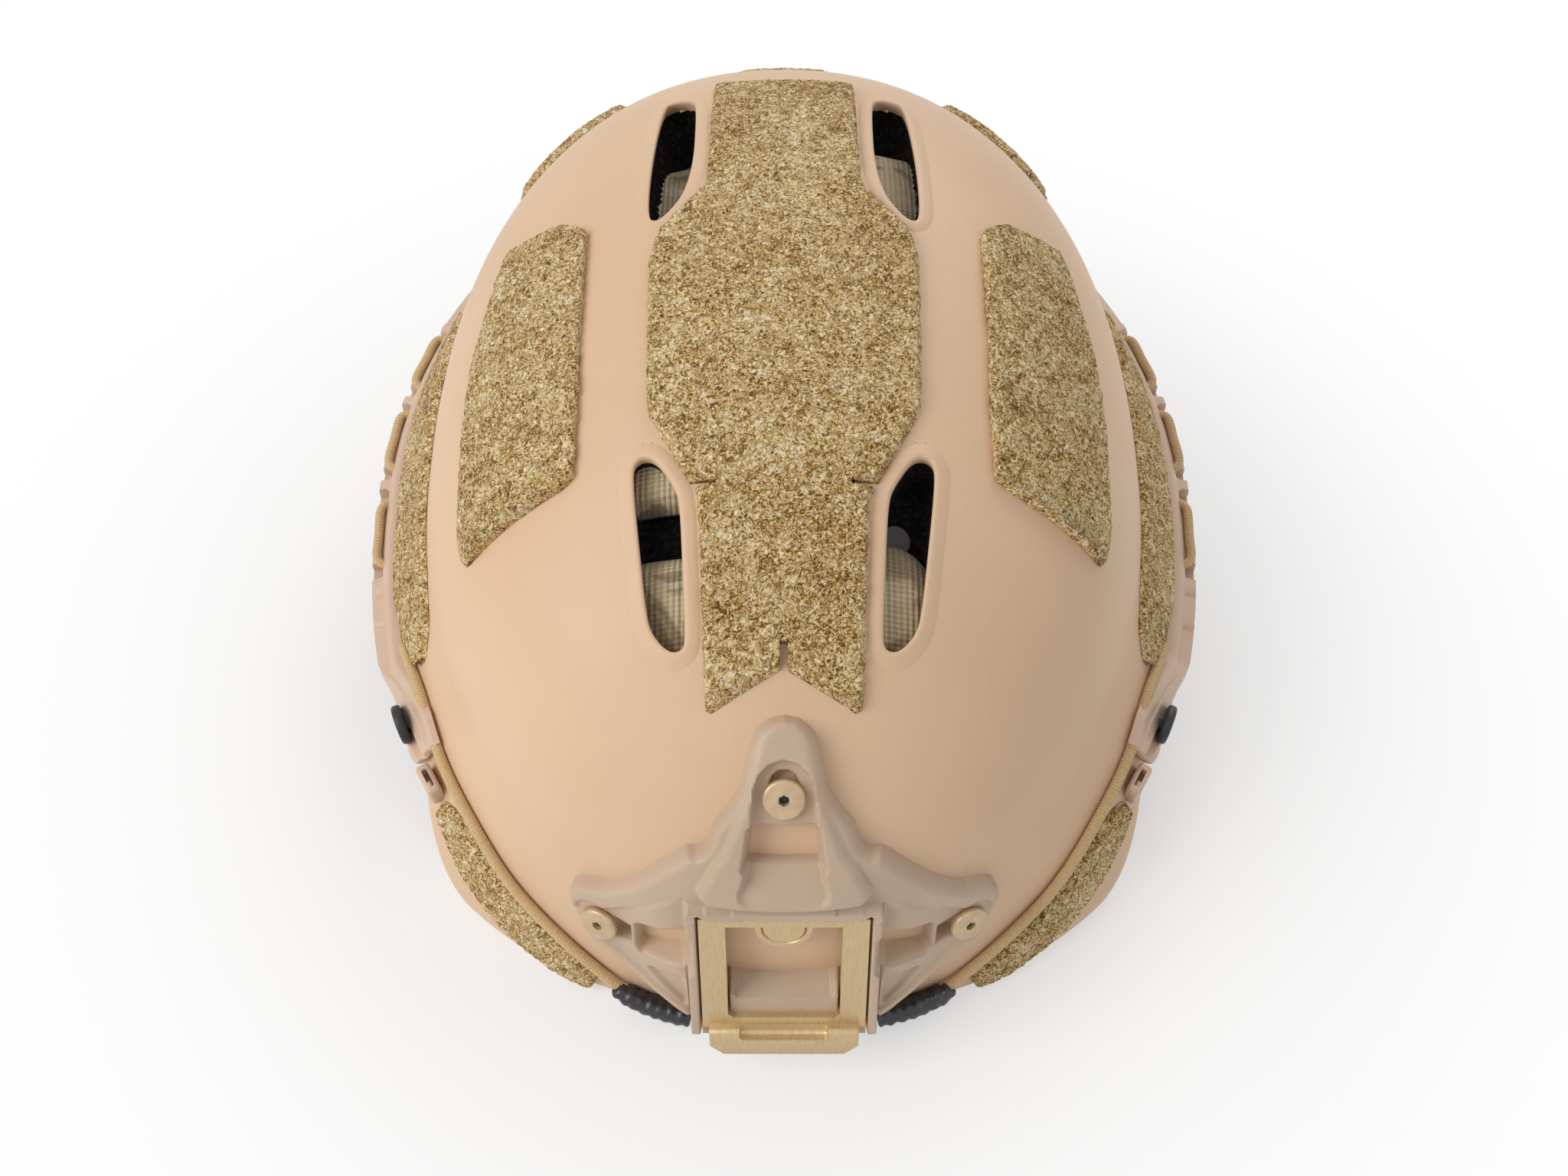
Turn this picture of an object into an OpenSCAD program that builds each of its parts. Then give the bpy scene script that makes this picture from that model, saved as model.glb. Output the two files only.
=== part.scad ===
// Combat helmet: high-cut bump shell with side rails, brow shroud, liner, fit band and chin harness.
// Everything is drawn in the worn frame, with the brow towards -Y and the crown up, and then tipped
// forward so that the brow and the nape stand on the ground plane.

/* [Shell] */
// Half of the dome's width above the rails
half_w = 103; // [98:1:108]
// Half of the dome's length
half_l = 140; // [134:1:146]
// Height of the crown above the level where the dome is widest
crown_h = 90; // [86:1:96]
// Thickness of the shell wall
wall = 3; // [2:0.25:4]
// How far the skirt flares out on each side
side_flare = 27; // [22:1:30]
// Height of the brow rim's centre, from the level where the dome is widest
brow_z = -30; // [-33:1:-26]
// Height of the rim over the ears, from the same level
ear_z = -24; // [-26:1:-21]
// Angle by which the helmet tips forward when it stands on its rim
rest_pitch = 12; // [10:0.5:14]

/* [Vents] */
// Width of the web between the two vents of a pair
vent_web = 49; // [46:1:52]
// Radius of a vent's corners
vent_r = 3; // [2:0.5:4]

/* [Loop panels] */
// Thickness of the pile
pile_t = 2.4; // [1.5:0.1:3.5]
// Half of the centre panel's width at its middle
centre_half = 35; // [30:1:37]

/* [Shroud] */
// Thickness of the shroud's arms over the shell
arm_t = 5.5; // [4:0.5:7]
// Distance from the centre line to each lower screw
screw_x = 45; // [43:1:47]
// Radius of the shroud screws' shanks
shank_r = 2.1; // [1.5:0.1:2.5]
// Radius of the shroud screws' heads
head_r = 5.2; // [4.5:0.1:6]
// Width of the metal insert
insert_w = 42; // [38:1:44]
// Height of the metal insert
insert_h = 46; // [42:1:48]
// Thickness of the metal insert
insert_t = 5; // [4:0.5:6]
// Width of the window in the insert
window_w = 29; // [25:1:31]
// Height of the window in the insert
window_h = 35; // [30:1:36]

/* [Rails] */
// How far a rail stands out from the shell
rail_t = 6.4; // [5.5:0.1:8]
// Height of a rail over the ear
rail_h = 24; // [20:1:26]
// Height of a rail's top edge
rail_top = 1; // [-2:1:3]

/* [Cords] */
// Diameter of the elastic bungees
bungee_d = 3; // [2:0.1:3.4]
// Diameter of the lacing on the rails
lace_d = 2.6; // [2:0.1:3]

/* [Liner] */
// Thickness of the impact liner
liner_t = 14; // [10:1:16]
// Thickness of the comfort pads
pad_t = 9; // [6:0.5:11]

/* [Fit band] */
// Radius of the fit dial
dial_r = 17; // [14:0.5:18]
// Thickness of the fit dial's rim
dial_t = 7; // [5:0.5:8]
// Travel of the nape yoke when the dial is wound in
fit_travel = 10; // [6:1:12]

/* [Harness] */
// Width of the webbing
strap_w = 19; // [15:1:22]
// Thickness of the webbing
strap_t = 1.6; // [1.2:0.1:2]

/* [Hidden] */
tan_shell = "#d9b48f";
tan_polymer = "#c3aa91";
tan_pile = "#a88f5c";
tan_cord = "#dcc08c";
gold_metal = "#cfb27a";
black_plastic = "#242326";
foam_black = "#2e2c2b";
knit_camo = "#a8977a";
seat_gap = 0.3;
bulge = 2.2;
skirt_c = 260;
crease_z = 22;
skirt_h = 40;
brow_flare = 8;
nape_flare = 4;
brow_y = half_l + 8;

// Smooth step from 0 at a to 1 at b
function ramp(v, a, b) = let (t = min(1, max(0, (v - a) / (b - a)))) t * t * (3 - 2 * t);
function mix(a, b, t) = a + (b - a) * t;
function signed_power(v, e) = sign(v) * pow(abs(v), e);
// Angle from the brow, alike on both sides, of an azimuth
function fold(az) = 180 - abs(180 - abs(az));

// Share of the full plan size that the dome still has at height z
function narrowing(z, off) =
    let (c = z > 0 ? crown_h + off : skirt_c)
    pow(max(0, 1 - pow(abs(z) / c, bulge)), 1 / bulge);

// How far the skirt has flared at height z. Over the ears it stops higher up than at the brow.
function most_flare(az) = mix(1.3, 0.62, ramp(fold(az), 40, 62));
function flare(az, z) =
    let (t = min(most_flare(az), (crease_z - z) / skirt_h))
    t <= 0 ? 0 : t < 0.25 ? 2 * t * t : t - 0.125;

// Half width and half length of the plan at height z
function plan_x(az, z, off) =
    (half_w + off) * narrowing(z, off) + side_flare * flare(az, z) * (1 - 0.75 * ramp(fold(az), 90, 140));
function plan_y(az, z, off) =
    (half_l + off) * narrowing(z, off) + (fold(az) < 90 ? brow_flare : nape_flare) * flare(az, z);

// Point of the surface that lies off outside the shell, at azimuth az from the brow
function shell_point(az, z, off) = [
    plan_x(az, z, off) * signed_power(sin(az), 2 / bulge),
    -plan_y(az, z, off) * signed_power(cos(az), 2 / bulge),
    z];

// Height of that surface over a plan point above the crease
function top_z(x, y, off) =
    let (a = half_w + off, b = half_l + off)
    (crown_h + off) * pow(max(0.001, 1 - pow(abs(x) / a, bulge) - pow(abs(y) / b, bulge)), 1 / bulge);

// Front surface at x and z
function front_y(x, z, off) =
    let (a = plan_x(20, z, off))
    -plan_y(20, z, off) * pow(max(0.001, 1 - pow(abs(x) / a, bulge)), 1 / bulge);

// Ground plane, in the worn frame
function ground_z(y) = brow_z - (y + brow_y) * tan(rest_pitch);
// Share of the ear cut at an azimuth
function ear_cut(az) = ramp(fold(az), 44, 62) * (1 - ramp(fold(az), 106, 134));
function rim_pass(az, off, lift, z) =
    mix(ground_z(shell_point(az, z, off)[1]), ear_z, ear_cut(az)) + lift;
// Height of the rim, found in a few passes because the plan depends on the height
function rim_z(az, off, lift) =
    rim_pass(az, off, lift, rim_pass(az, off, lift, rim_pass(az, off, lift, rim_pass(az, off, lift, brow_z))));

// Tips the worn frame onto the ground plane
ground_lift = brow_y * sin(rest_pitch) - brow_z * cos(rest_pitch);
centre_shift = 1.9;
module on_ground() {
    translate([0, centre_shift, ground_lift]) rotate([rest_pitch, 0, 0]) children();
}
function table_point(x, y, h) = [x, y, ground_z(y) + h / cos(rest_pitch)];

// Faces of a closed solid between two grids of rows by cols points, the outer grid first
function slab_faces(rows, cols) =
    let (n = rows * cols, seen_from_inside = concat(
        [for (r = [0:rows - 2], c = [0:cols - 2]) each
            let (a = r * cols + c, b = a + 1, d = a + cols, e = d + 1)
            [[a, b, e], [a, e, d], [n + a, n + e, n + b], [n + a, n + d, n + e]]],
        [for (c = [0:cols - 2]) each
            let (a = c, b = c + 1, d = (rows - 1) * cols + c, e = d + 1)
            [[a, n + a, n + b], [a, n + b, b], [d, e, n + e], [d, n + e, n + d]]],
        [for (r = [0:rows - 2]) each
            let (a = r * cols, b = a + cols, d = a + cols - 1, e = d + cols)
            [[a, b, n + b], [a, n + b, n + a], [d, n + d, n + e], [d, n + e, e]]]))
    [for (f = seen_from_inside) [f[2], f[1], f[0]]];

module slab(outer, inner) {
    rows = len(outer);
    cols = len(outer[0]);
    points = concat([for (r = outer) each r], [for (r = inner) each r]);
    polyhedron(points, slab_faces(rows, cols), convexity = 6);
}

// Rows of an outline, with more rows put in where two of them are far apart
function refine(keys, step) = concat(
    [for (i = [0:len(keys) - 2]) each
        let (n = max(1, ceil(abs(keys[i + 1][0] - keys[i][0]) / step)))
        [for (j = [0:n - 1]) mix(keys[i], keys[i + 1], j / n)]],
    [keys[len(keys) - 1]]);

// Panel on the top of the dome: each row holds y and the two x ends
module top_panel(keys, low, high, step = 9, cols = 5) {
    rows = refine(keys, step);
    slab([for (r = rows) [for (c = [0:cols]) let (x = mix(r[1], r[2], c / cols)) [x, r[0], top_z(x, r[0], high)]]],
        [for (r = rows) [for (c = [0:cols]) let (x = mix(r[1], r[2], c / cols)) [x, r[0], top_z(x, r[0], low)]]]);
}

// Panel on the flank: each row holds an azimuth and the two heights
module side_panel(keys, low, high, step = 5, cols = 3) {
    rows = refine(keys, step);
    slab([for (r = rows) [for (c = [0:cols]) shell_point(r[0], mix(r[2], r[1], c / cols), high)]],
        [for (r = rows) [for (c = [0:cols]) shell_point(r[0], mix(r[2], r[1], c / cols), low)]]);
}

// Heights of the dome's rings at one azimuth, from the rim to just under the crown
skirt_rings = 3;
flare_rings = 2;
crease_rings = 3;
high_rings = 9;
crease_step = 4;
function ring_heights(az, off, lift, rear_lift) =
    let (first = asin(pow(crease_z / (crown_h + off), bulge / 2)),
        low = rim_z(az, off, lift + rear_lift * ramp(fold(az), 112, 142)),
        turn = max(crease_z - crease_rings * crease_step, mix(low, crease_z, 0.5)),
        knee = max(crease_z - most_flare(az) * skirt_h, mix(low, turn, 0.5)))
    concat(
        [for (i = [0:skirt_rings - 1]) mix(low, knee, i / skirt_rings)],
        [for (i = [0:flare_rings - 1]) mix(knee, turn, i / flare_rings)],
        [for (i = [0:crease_rings - 1]) mix(turn, crease_z, i / crease_rings)],
        [for (i = [0:high_rings - 1]) (crown_h + off) * pow(sin(mix(first, 90, i / high_rings)), 2 / bulge)]);

// Closed dome wall between two offsets from the shell's outer face
module dome_wall(high, low, cols, lift = 0, rear_lift = 0) {
    rings = skirt_rings + flare_rings + crease_rings + high_rings;
    step = 360 / cols;
    outer_z = [for (c = [0:cols - 1]) ring_heights(-180 + c * step, high, lift, rear_lift)];
    inner_z = [for (c = [0:cols - 1]) ring_heights(-180 + c * step, low, lift, rear_lift)];
    outer = [for (r = [0:rings - 1], c = [0:cols - 1]) shell_point(-180 + c * step, outer_z[c][r], high)];
    inner = [for (r = [0:rings - 1], c = [0:cols - 1]) shell_point(-180 + c * step, inner_z[c][r], low)];
    n = rings * cols;
    top_out = 2 * n;
    top_in = 2 * n + 1;
    faces = concat(
        [for (r = [0:rings - 2], c = [0:cols - 1]) each
            let (a = r * cols + c, b = r * cols + (c + 1) % cols, d = a + cols, e = b + cols)
            [[a, d, e], [a, e, b], [n + a, n + e, n + d], [n + a, n + b, n + e]]],
        [for (c = [0:cols - 1]) each
            let (a = c, b = (c + 1) % cols, d = (rings - 1) * cols + c, e = (rings - 1) * cols + (c + 1) % cols)
            [[a, b, n + b], [a, n + b, n + a], [d, top_out, e], [n + d, n + e, top_in]]]);
    points = concat(outer, inner, [[0, 0, crown_h + high], [0, 0, crown_h + low]]);
    polyhedron(points, faces, convexity = 10);
}

// Upright prism with rounded corners
module rounded_prism(corners, r, low, high) {
    translate([0, 0, low]) linear_extrude(high - low) hull()
        for (p = corners) translate(p) circle(r, $fn = 24);
}

// The four vents, as prisms through the dome, grown by a margin where a lining piece gives way to them
module vents(margin) {
    web = vent_web / 2;
    for (side = [0, 1]) mirror([side, 0, 0]) {
        rounded_prism([
            [web + vent_r, -55], [web + 6.5 + vent_r, -45], [web + 9, -50],
            [web + vent_r, -84], [web + 1 + vent_r, -85]], vent_r + margin, crease_z, crown_h + 20);
        rounded_prism([
            [web + vent_r, 44], [web + 6.5 + vent_r, 32], [web + 9.5, 36],
            [web + vent_r, 82], [web + 5 + vent_r, 84]], vent_r + margin, crease_z, crown_h + 20);
    }
}

// Frames for placing small things on the shell
function plan_heading(az, z, off) =
    let (a = shell_point(az - 1, z, off), b = shell_point(az + 1, z, off)) atan2(b[1] - a[1], b[0] - a[0]) - 90;
module at_flank(az, z, off) {
    translate(shell_point(az, z, off)) rotate([0, 0, plan_heading(az, z, off)]) children();
}
// The same, leaning with the flare, for flat things on the flared skirt
function flank_lean(az, z) =
    let (d = shell_point(az, z - 1, 0) - shell_point(az, z + 1, 0), h = plan_heading(az, z, 0))
    atan2(d[0] * cos(h) + d[1] * sin(h), 2);
module on_flank(az, z) {
    at_flank(az, z, 0) rotate([0, -flank_lean(az, z), 0]) children();
}
// The shroud's lobe ends a little before the notch in the centre panel's front edge
notch_y = -92;
lobe_z = top_z(0, notch_y - 12, arm_t);
// Height at which the shroud's body ends and its lobe begins
hood_z = 46;
// Shroud screw places: height and lean of the surface there
top_screw_z = mix(hood_z, lobe_z, 0.35);
low_screw_z = 9.5;
function front_lean(x, z) = atan2(front_y(x, z + 2, 0) - front_y(x, z - 2, 0), 4);
function front_turn(x, z) = atan2(front_y(x + 2, z, 0) - front_y(x - 2, z, 0), 4);
module at_screw(i) {
    x = [0, screw_x, -screw_x][i];
    z = i == 0 ? top_screw_z : low_screw_z;
    translate([x, front_y(x, z, 0), z]) rotate([0, 0, front_turn(x, z)]) rotate([90 - front_lean(x, z), 0, 0])
        children();
}
module screw_bores(r) {
    for (i = [0:2]) at_screw(i) translate([0, 0, -40]) cylinder(r = r, h = 60, $fn = 32);
}
// Screws that hold the rails and the harness straps, as azimuth and height
rail_screw_places = [[73, -19], [104, -19]];
anchor_r = 2;
module flank_bores(places, r) {
    for (side = [0, 1], p = places) mirror([side, 0, 0]) at_flank(p[0], p[1], 0)
        rotate([0, 90, 0]) translate([0, 0, -30]) cylinder(r = r, h = 50, $fn = 24);
}

module shell() {
    color(tan_shell) difference() {
        dome_wall(0, -wall, 72);
        vents(0);
        screw_bores(shank_r + 0.25);
        flank_bores(rail_screw_places, anchor_r + 0.25);
    }
}

// Hook-and-loop panels
pile_low = seat_gap;
pile_high = seat_gap + pile_t;
module centre_loop_panel() {
    notch = 2;
    color(tan_pile) difference() {
        top_panel([
            [notch_y - 9, -18.5, 18.5], [-53, -20.5, 20.5], [-50, -22, 22], [-30, -centre_half + 2, centre_half - 2],
            [-26, -centre_half + 1.5, centre_half - 1.5], [18, -centre_half, centre_half],
            [27, -centre_half + 2, centre_half - 2], [41, -21, 21], [95, -20, 20]],
            pile_low, pile_high, 9, 6);
        linear_extrude(120) polygon([[-18.5, notch_y - 10], [0, notch_y + 1], [18.5, notch_y - 10]]);
        linear_extrude(120) polygon([[-0.4, notch_y], [-0.4, notch_y + 5], [0.4, notch_y + 5], [0.4, notch_y]]);
        for (side = [-1, 1]) translate([side * 20.5, -51.5, 0]) linear_extrude(120) square([2 * notch, 1], center = true);
    }
}
module upper_side_loop() {
    color(tan_pile) mirror([1, 0, 0]) top_panel([
        [-54, -82, -80], [-48, -83, -64], [-44, -84, -51], [-18, -86, -51.5], [6, -84, -52],
        [33, -79, -52], [38, -77, -62]], pile_low, pile_high, 9, 4);
}
module side_loop() {
    color(tan_pile) side_panel([[66.5, rail_top + 7.6, 10.5], [70, rail_top + 5, 16], [76, rail_top + 1.5, 19],
        [90, rail_top + 1.5, 18], [102, rail_top + 1.5, 15], [114, rail_top + 1.5, 8]], pile_low, pile_high, 5, 2);
}
module front_quarter_loop() {
    color(tan_pile) side_panel([[21, -30, -23], [24, -30.5, -18], [33, -25, -9], [42, -18, -3], [48, -11.5, -2.5], [50, -9.5, -4]],
        pile_low, pile_high, 5, 2);
}
module rear_quarter_loop() {
    color(tan_pile) side_panel([[128, 20, 34], [132, 10, 42], [142, 8, 46], [150, 8, 44], [153, 16, 34]],
        pile_low, pile_high, 5, 3);
}
module rear_loop_panel() {
    color(tan_pile) side_panel([[172, -40, 38], [174, -44, 42], [180, -46, 43], [186, -44, 42], [188, -40, 38]],
        pile_low, pile_high, 5, 7);
}

// Brow shroud. The plate frame carries the insert: it leans back with the brow, with -Y as its face.
plate_top_z = 37;
plate_low_z = -13;
plate_stand = 9.5;
// The plate leans back more than the brow does
plate_extra = 6;
plate_lean = atan2(front_y(0, plate_top_z, 0) - front_y(0, plate_low_z, 0), plate_top_z - plate_low_z) + plate_extra;
plate_z = (plate_top_z + plate_low_z) / 2;
plate_y = (front_y(0, plate_top_z, 0) + front_y(0, plate_low_z, 0)) / 2 - plate_stand;
module on_plate() {
    translate([0, plate_y, plate_z]) rotate([-plate_lean, 0, 0]) children();
}
// Plane of the plate's face at height z, less a depth behind it
function plate_face(z, depth) = plate_y + (z - plate_z) * tan(plate_lean) + depth / cos(plate_lean);

shroud_rows = [[-20, 20], [-17, 26], [-10, 33], [-4, 40], [0, 46], [5, 52.5], [11, 53.5], [16, 53.2], [20, 50],
    [27, 42.4], [36, 33], [44, 25], [hood_z, 20], [mix(hood_z, lobe_z, 0.16), 17.4], [mix(hood_z, lobe_z, 0.38), 13.6],
    [mix(hood_z, lobe_z, 0.57), 10.2], [mix(hood_z, lobe_z, 0.75), 8.8], [mix(hood_z, lobe_z, 0.88), 7.1], [lobe_z, 3.5]];
side_bar = 3.4;
body_half = insert_w / 2 + side_bar;
// The bars reach a little into the skin behind the insert
bar_depth = insert_t + 0.5;
// Share of the shroud's thickness by which its inner face lies lower than its outer face
function front_rise(z) = z <= 0 ? 0 :
    let (y = -front_y(0, z, arm_t), up = pow(z / crown_h, bulge - 1) / crown_h, out = pow(y / half_l, bulge - 1) / half_l)
    up / norm([up, out]);
module shroud_skin() {
    rows = refine(shroud_rows, 5);
    cols = 12;
    function across(c) = 2 * c / cols - 1;
    function skin_y(x, z) =
        let (arm = front_y(x, z, arm_t),
            core = plate_face(z, insert_t + 0.1),
            share = (1 - ramp(abs(x), body_half - 3, body_half + 1)) * (1 - ramp(z, hood_z - 2, hood_z + 6)))
        mix(arm, core, share);
    slab([for (r = rows) [for (c = [0:cols]) let (x = across(c) * r[1]) [x, skin_y(x, r[0]), r[0]]]],
        [for (r = rows) [for (c = [0:cols])
            let (x = across(c) * r[1], z = r[0] - (arm_t - seat_gap) * front_rise(r[0])) [x, front_y(x, z, seat_gap), z]]]);
}
module shroud_body() {
    color(tan_polymer) difference() {
        union() {
            shroud_skin();
            // Bars beside the insert
            for (side = [-1, 1]) on_plate() translate([side * (insert_w / 2 + seat_gap + side_bar / 2), bar_depth / 2, -1])
                cube([side_bar - seat_gap, bar_depth, insert_h + 4], center = true);
            // Hood over the insert's top edge
            on_plate() translate([0, 0.2 + bar_depth / 2, insert_h / 2 + 3]) cube([2 * body_half, bar_depth, 6.6], center = true);
        }
        // Bay that the insert lies in
        on_plate() translate([-insert_w / 2 - seat_gap, -10, -insert_h / 2 - 12])
            cube([insert_w + 2 * seat_gap, 10 + insert_t + seat_gap, insert_h + 12 + seat_gap]);
        // Pocket and keyhole round the top screw
        at_screw(0) translate([0, 0, arm_t - 2.2]) cylinder(r = head_r + 2, h = 20, $fn = 40);
        at_screw(0) translate([0, 8, arm_t - 2.2 + 10]) cube([9, 8, 20], center = true);
        // Scoop below it, and the window behind the insert
        on_plate() translate([0, 0, insert_h / 2 + 12]) cube([17, 20, 9], center = true);
        on_plate() translate([0, 0, -3]) cube([window_w + 1, 18, window_h + 2], center = true);
        // Openings in the arms
        for (side = [-1, 1]) translate([side * 31.5, front_y(31.5, 13, 0), 13]) rotate([0, 0, side * 12])
            cube([11, 30, 8], center = true);
        for (i = [1, 2]) at_screw(i) translate([0, 0, arm_t - 1.6]) cylinder(r = head_r + 1.2, h = 20, $fn = 40);
        screw_bores(shank_r + 0.1);
    }
}
module shroud_insert() {
    ledge_h = 8;
    color(gold_metal) on_plate() difference() {
        union() {
            translate([0, insert_t / 2, 0]) cube([insert_w, insert_t, insert_h], center = true);
            // Ledge at the foot, and the half-round boss at the head of the window
            translate([-insert_w / 2 + 2, -3, -insert_h / 2 - ledge_h]) cube([insert_w - 4, insert_t + 3, ledge_h + 1]);
        }
        difference() {
            translate([0, insert_t / 2, -1]) cube([window_w, insert_t + 2, window_h], center = true);
            translate([0, 0, window_h / 2 - 2]) rotate([-90, 0, 0]) cylinder(r = 7, h = insert_t, $fn = 40);
        }
        translate([0, -3, -insert_h / 2]) cube([window_w - 5, 5, 8], center = true);
    }
}
module shroud_screws() {
    color(tan_cord) for (i = [0:2]) at_screw(i) {
        seat = i == 0 ? arm_t - 2.2 : arm_t - 1.6;
        difference() {
            union() {
                translate([0, 0, seat + 0.05]) cylinder(r = head_r, h = 2.6, $fn = 40);
                translate([0, 0, -wall - 5]) cylinder(r = shank_r, h = wall + 5 + seat + 1, $fn = 32);
            }
            translate([0, 0, seat + 1]) cylinder(r = 1.5, h = 3, $fn = 6);
        }
    }
}
// Threaded inserts that the shroud screws run into, behind the shell
module shroud_nuts() {
    color("#8d8a82") for (i = [0:2]) at_screw(i) translate([0, 0, -wall - 3.4]) difference() {
        cylinder(r = 6.5, h = 2.4, $fn = 40);
        translate([0, 0, -1]) cylinder(r = shank_r + 0.1, h = 6, $fn = 32);
    }
}

// Rails. Each column of a rail's section holds its drop below the top edge, and the offsets of its
// outer and inner faces. The ledge carries the lacing, and the groove behind it hides it.
rail_top_keys = [[56, 8], [60, 9], [65, 7], [70, rail_top], [108, rail_top], [122, rail_top - 3]];
rail_foot_keys = [[56, -3], [60, -6], [65, -12], [70, rail_top - rail_h], [108, rail_top - rail_h],
    [122, rail_top - rail_h + 8]];
rail_sections = [[0, 3.2, 0.3], [4, 3.3, 0.3], [4.3, 1, 0.3], [6, 1, 0.3], [6.2, 1, 3.2], [9.4, 1, 3.2],
    [9.6, 1, 0.3], [11, 1, 0.3], [11.4, 0.6, 0.3], [17, 0.6, 0.3], [17.4, 0.97, 0.3], [rail_h, 0.88, 0.3]];
function rail_part(az, j) =
    let (s = rail_sections[j], top = lookup(az, rail_top_keys), foot = lookup(az, rail_foot_keys),
        share = (top - foot) / rail_h, arm = 1 - ramp(az, 66, 71),
        out = s[1] <= 1 ? s[1] * rail_t : mix(s[1], rail_t - 0.6, arm),
        back = mix(s[2], j < 8 ? bungee_d + 1.3 : 0.9, arm))
    [top - s[0] * share, out + arm * 1.2, back];
rail_azimuths = [for (a = [56:3.5:66.5]) a, for (a = [70:4:122]) a];
module rail_bar() {
    count = len(rail_sections) - 1;
    slab([for (az = rail_azimuths) [for (j = [0:count]) let (p = rail_part(az, j)) shell_point(az, p[0], p[1])]],
        [for (az = rail_azimuths) [for (j = [0:count]) let (p = rail_part(az, j)) shell_point(az, p[0], p[2])]]);
}
// Azimuth of the knob on the rail's arm
knob_az = 61;
// Azimuths between which each visible stretch of lacing runs
lace_spans = [[82, 89.4], [92.6, 100], [103.6, 111.4]];
lace_window = lace_d + 3;
module rail_windows() {
    for (s = lace_spans, end = [0, 1]) at_flank(s[end] - 0.15 + 0.3 * end, rail_top - 4.3, 1.7)
        cube([4, lace_window, 8.4], center = true);
}
module rail() {
    color(tan_polymer) difference() {
        rail_bar();
        rail_windows();
        for (p = rail_screw_places) at_flank(p[0], p[1], 0) rotate([0, 90, 0]) {
            translate([0, 0, -5]) cylinder(r = anchor_r + 0.1, h = 20, $fn = 24);
            translate([0, 0, 2.5]) cylinder(r = 3.3, h = 20, $fn = 32);
        }
        on_flank(knob_az, 1) rotate([0, 90, 0]) translate([0, 0, -5]) cylinder(r = 2.1, h = 30, $fn = 24);
    }
}
module rail_screws() {
    color(black_plastic) for (side = [0, 1], p = rail_screw_places) mirror([side, 0, 0])
        at_flank(p[0], p[1], 0) rotate([0, 90, 0]) {
            translate([0, 0, 2.55]) cylinder(r = 3, h = 1.4, $fn = 32);
            translate([0, 0, -wall - strap_t - 2.4]) cylinder(r = anchor_r, h = wall + strap_t + 5, $fn = 24);
            translate([0, 0, -wall - strap_t - 2.9]) cylinder(r = 4.2, h = 1.8, $fn = 32);
        }
}
module rail_knobs() {
    color(black_plastic) for (side = [0, 1]) mirror([side, 0, 0]) on_flank(knob_az, 1) rotate([0, 90, 0]) {
        translate([0, 0, rail_t + 0.6]) cylinder(r = 7, h = 2.6, $fn = 40);
        translate([0, 0, 0.4]) cylinder(r = 2, h = rail_t + 1, $fn = 24);
    }
}
module rail_clip() {
    color(tan_polymer) on_flank(53, -3.5) translate([2.6, 0, 0]) difference() {
        cube([4, 9, 11], center = true);
        translate([1.4, 0, 0]) cube([2, 5, 7], center = true);
    }
}

// Tube along a path of points, with sides as a polygon
function unit(v) = v / norm(v);
function path_way(p, i) = unit(p[min(i + 1, len(p) - 1)] - p[max(i - 1, 0)]);
function tube_ring(p, i, r, sides) =
    let (w = path_way(p, i), up = abs(w[2]) > 0.9 ? [1, 0, 0] : [0, 0, 1], u = unit(cross(w, up)), v = cross(w, u))
    [for (k = [0:sides - 1]) p[i] + r * (cos(360 * k / sides) * u + sin(360 * k / sides) * v)];
module loft(rings) {
    rows = len(rings);
    n = len(rings[0]);
    last = (rows - 1) * n;
    faces = concat(
        [for (r = [0:rows - 2], k = [0:n - 1]) each
            let (a = r * n + k, b = r * n + (k + 1) % n, d = a + n, e = b + n) [[a, e, b], [a, d, e]]],
        [for (k = [1:n - 2]) [0, k, k + 1]],
        [for (k = [1:n - 2]) [last, last + k + 1, last + k]]);
    polyhedron([for (r = rings) each r], faces, convexity = 6);
}
module tube(p, r, sides = 8) {
    loft([for (i = [0:len(p) - 1]) tube_ring(p, i, r, sides)]);
}
// Smooth path through a few points
function spline_point(p, i, t) =
    let (a = p[max(i - 1, 0)], b = p[i], c = p[i + 1], d = p[min(i + 2, len(p) - 1)])
    0.5 * (2 * b + (c - a) * t + (2 * a - 5 * b + 4 * c - d) * t * t + (3 * b - a - 3 * c + d) * t * t * t);
function smooth_path(p, parts) = concat(
    [for (i = [0:len(p) - 2], k = [0:parts - 1]) spline_point(p, i, k / parts)], [p[len(p) - 1]]);

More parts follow.
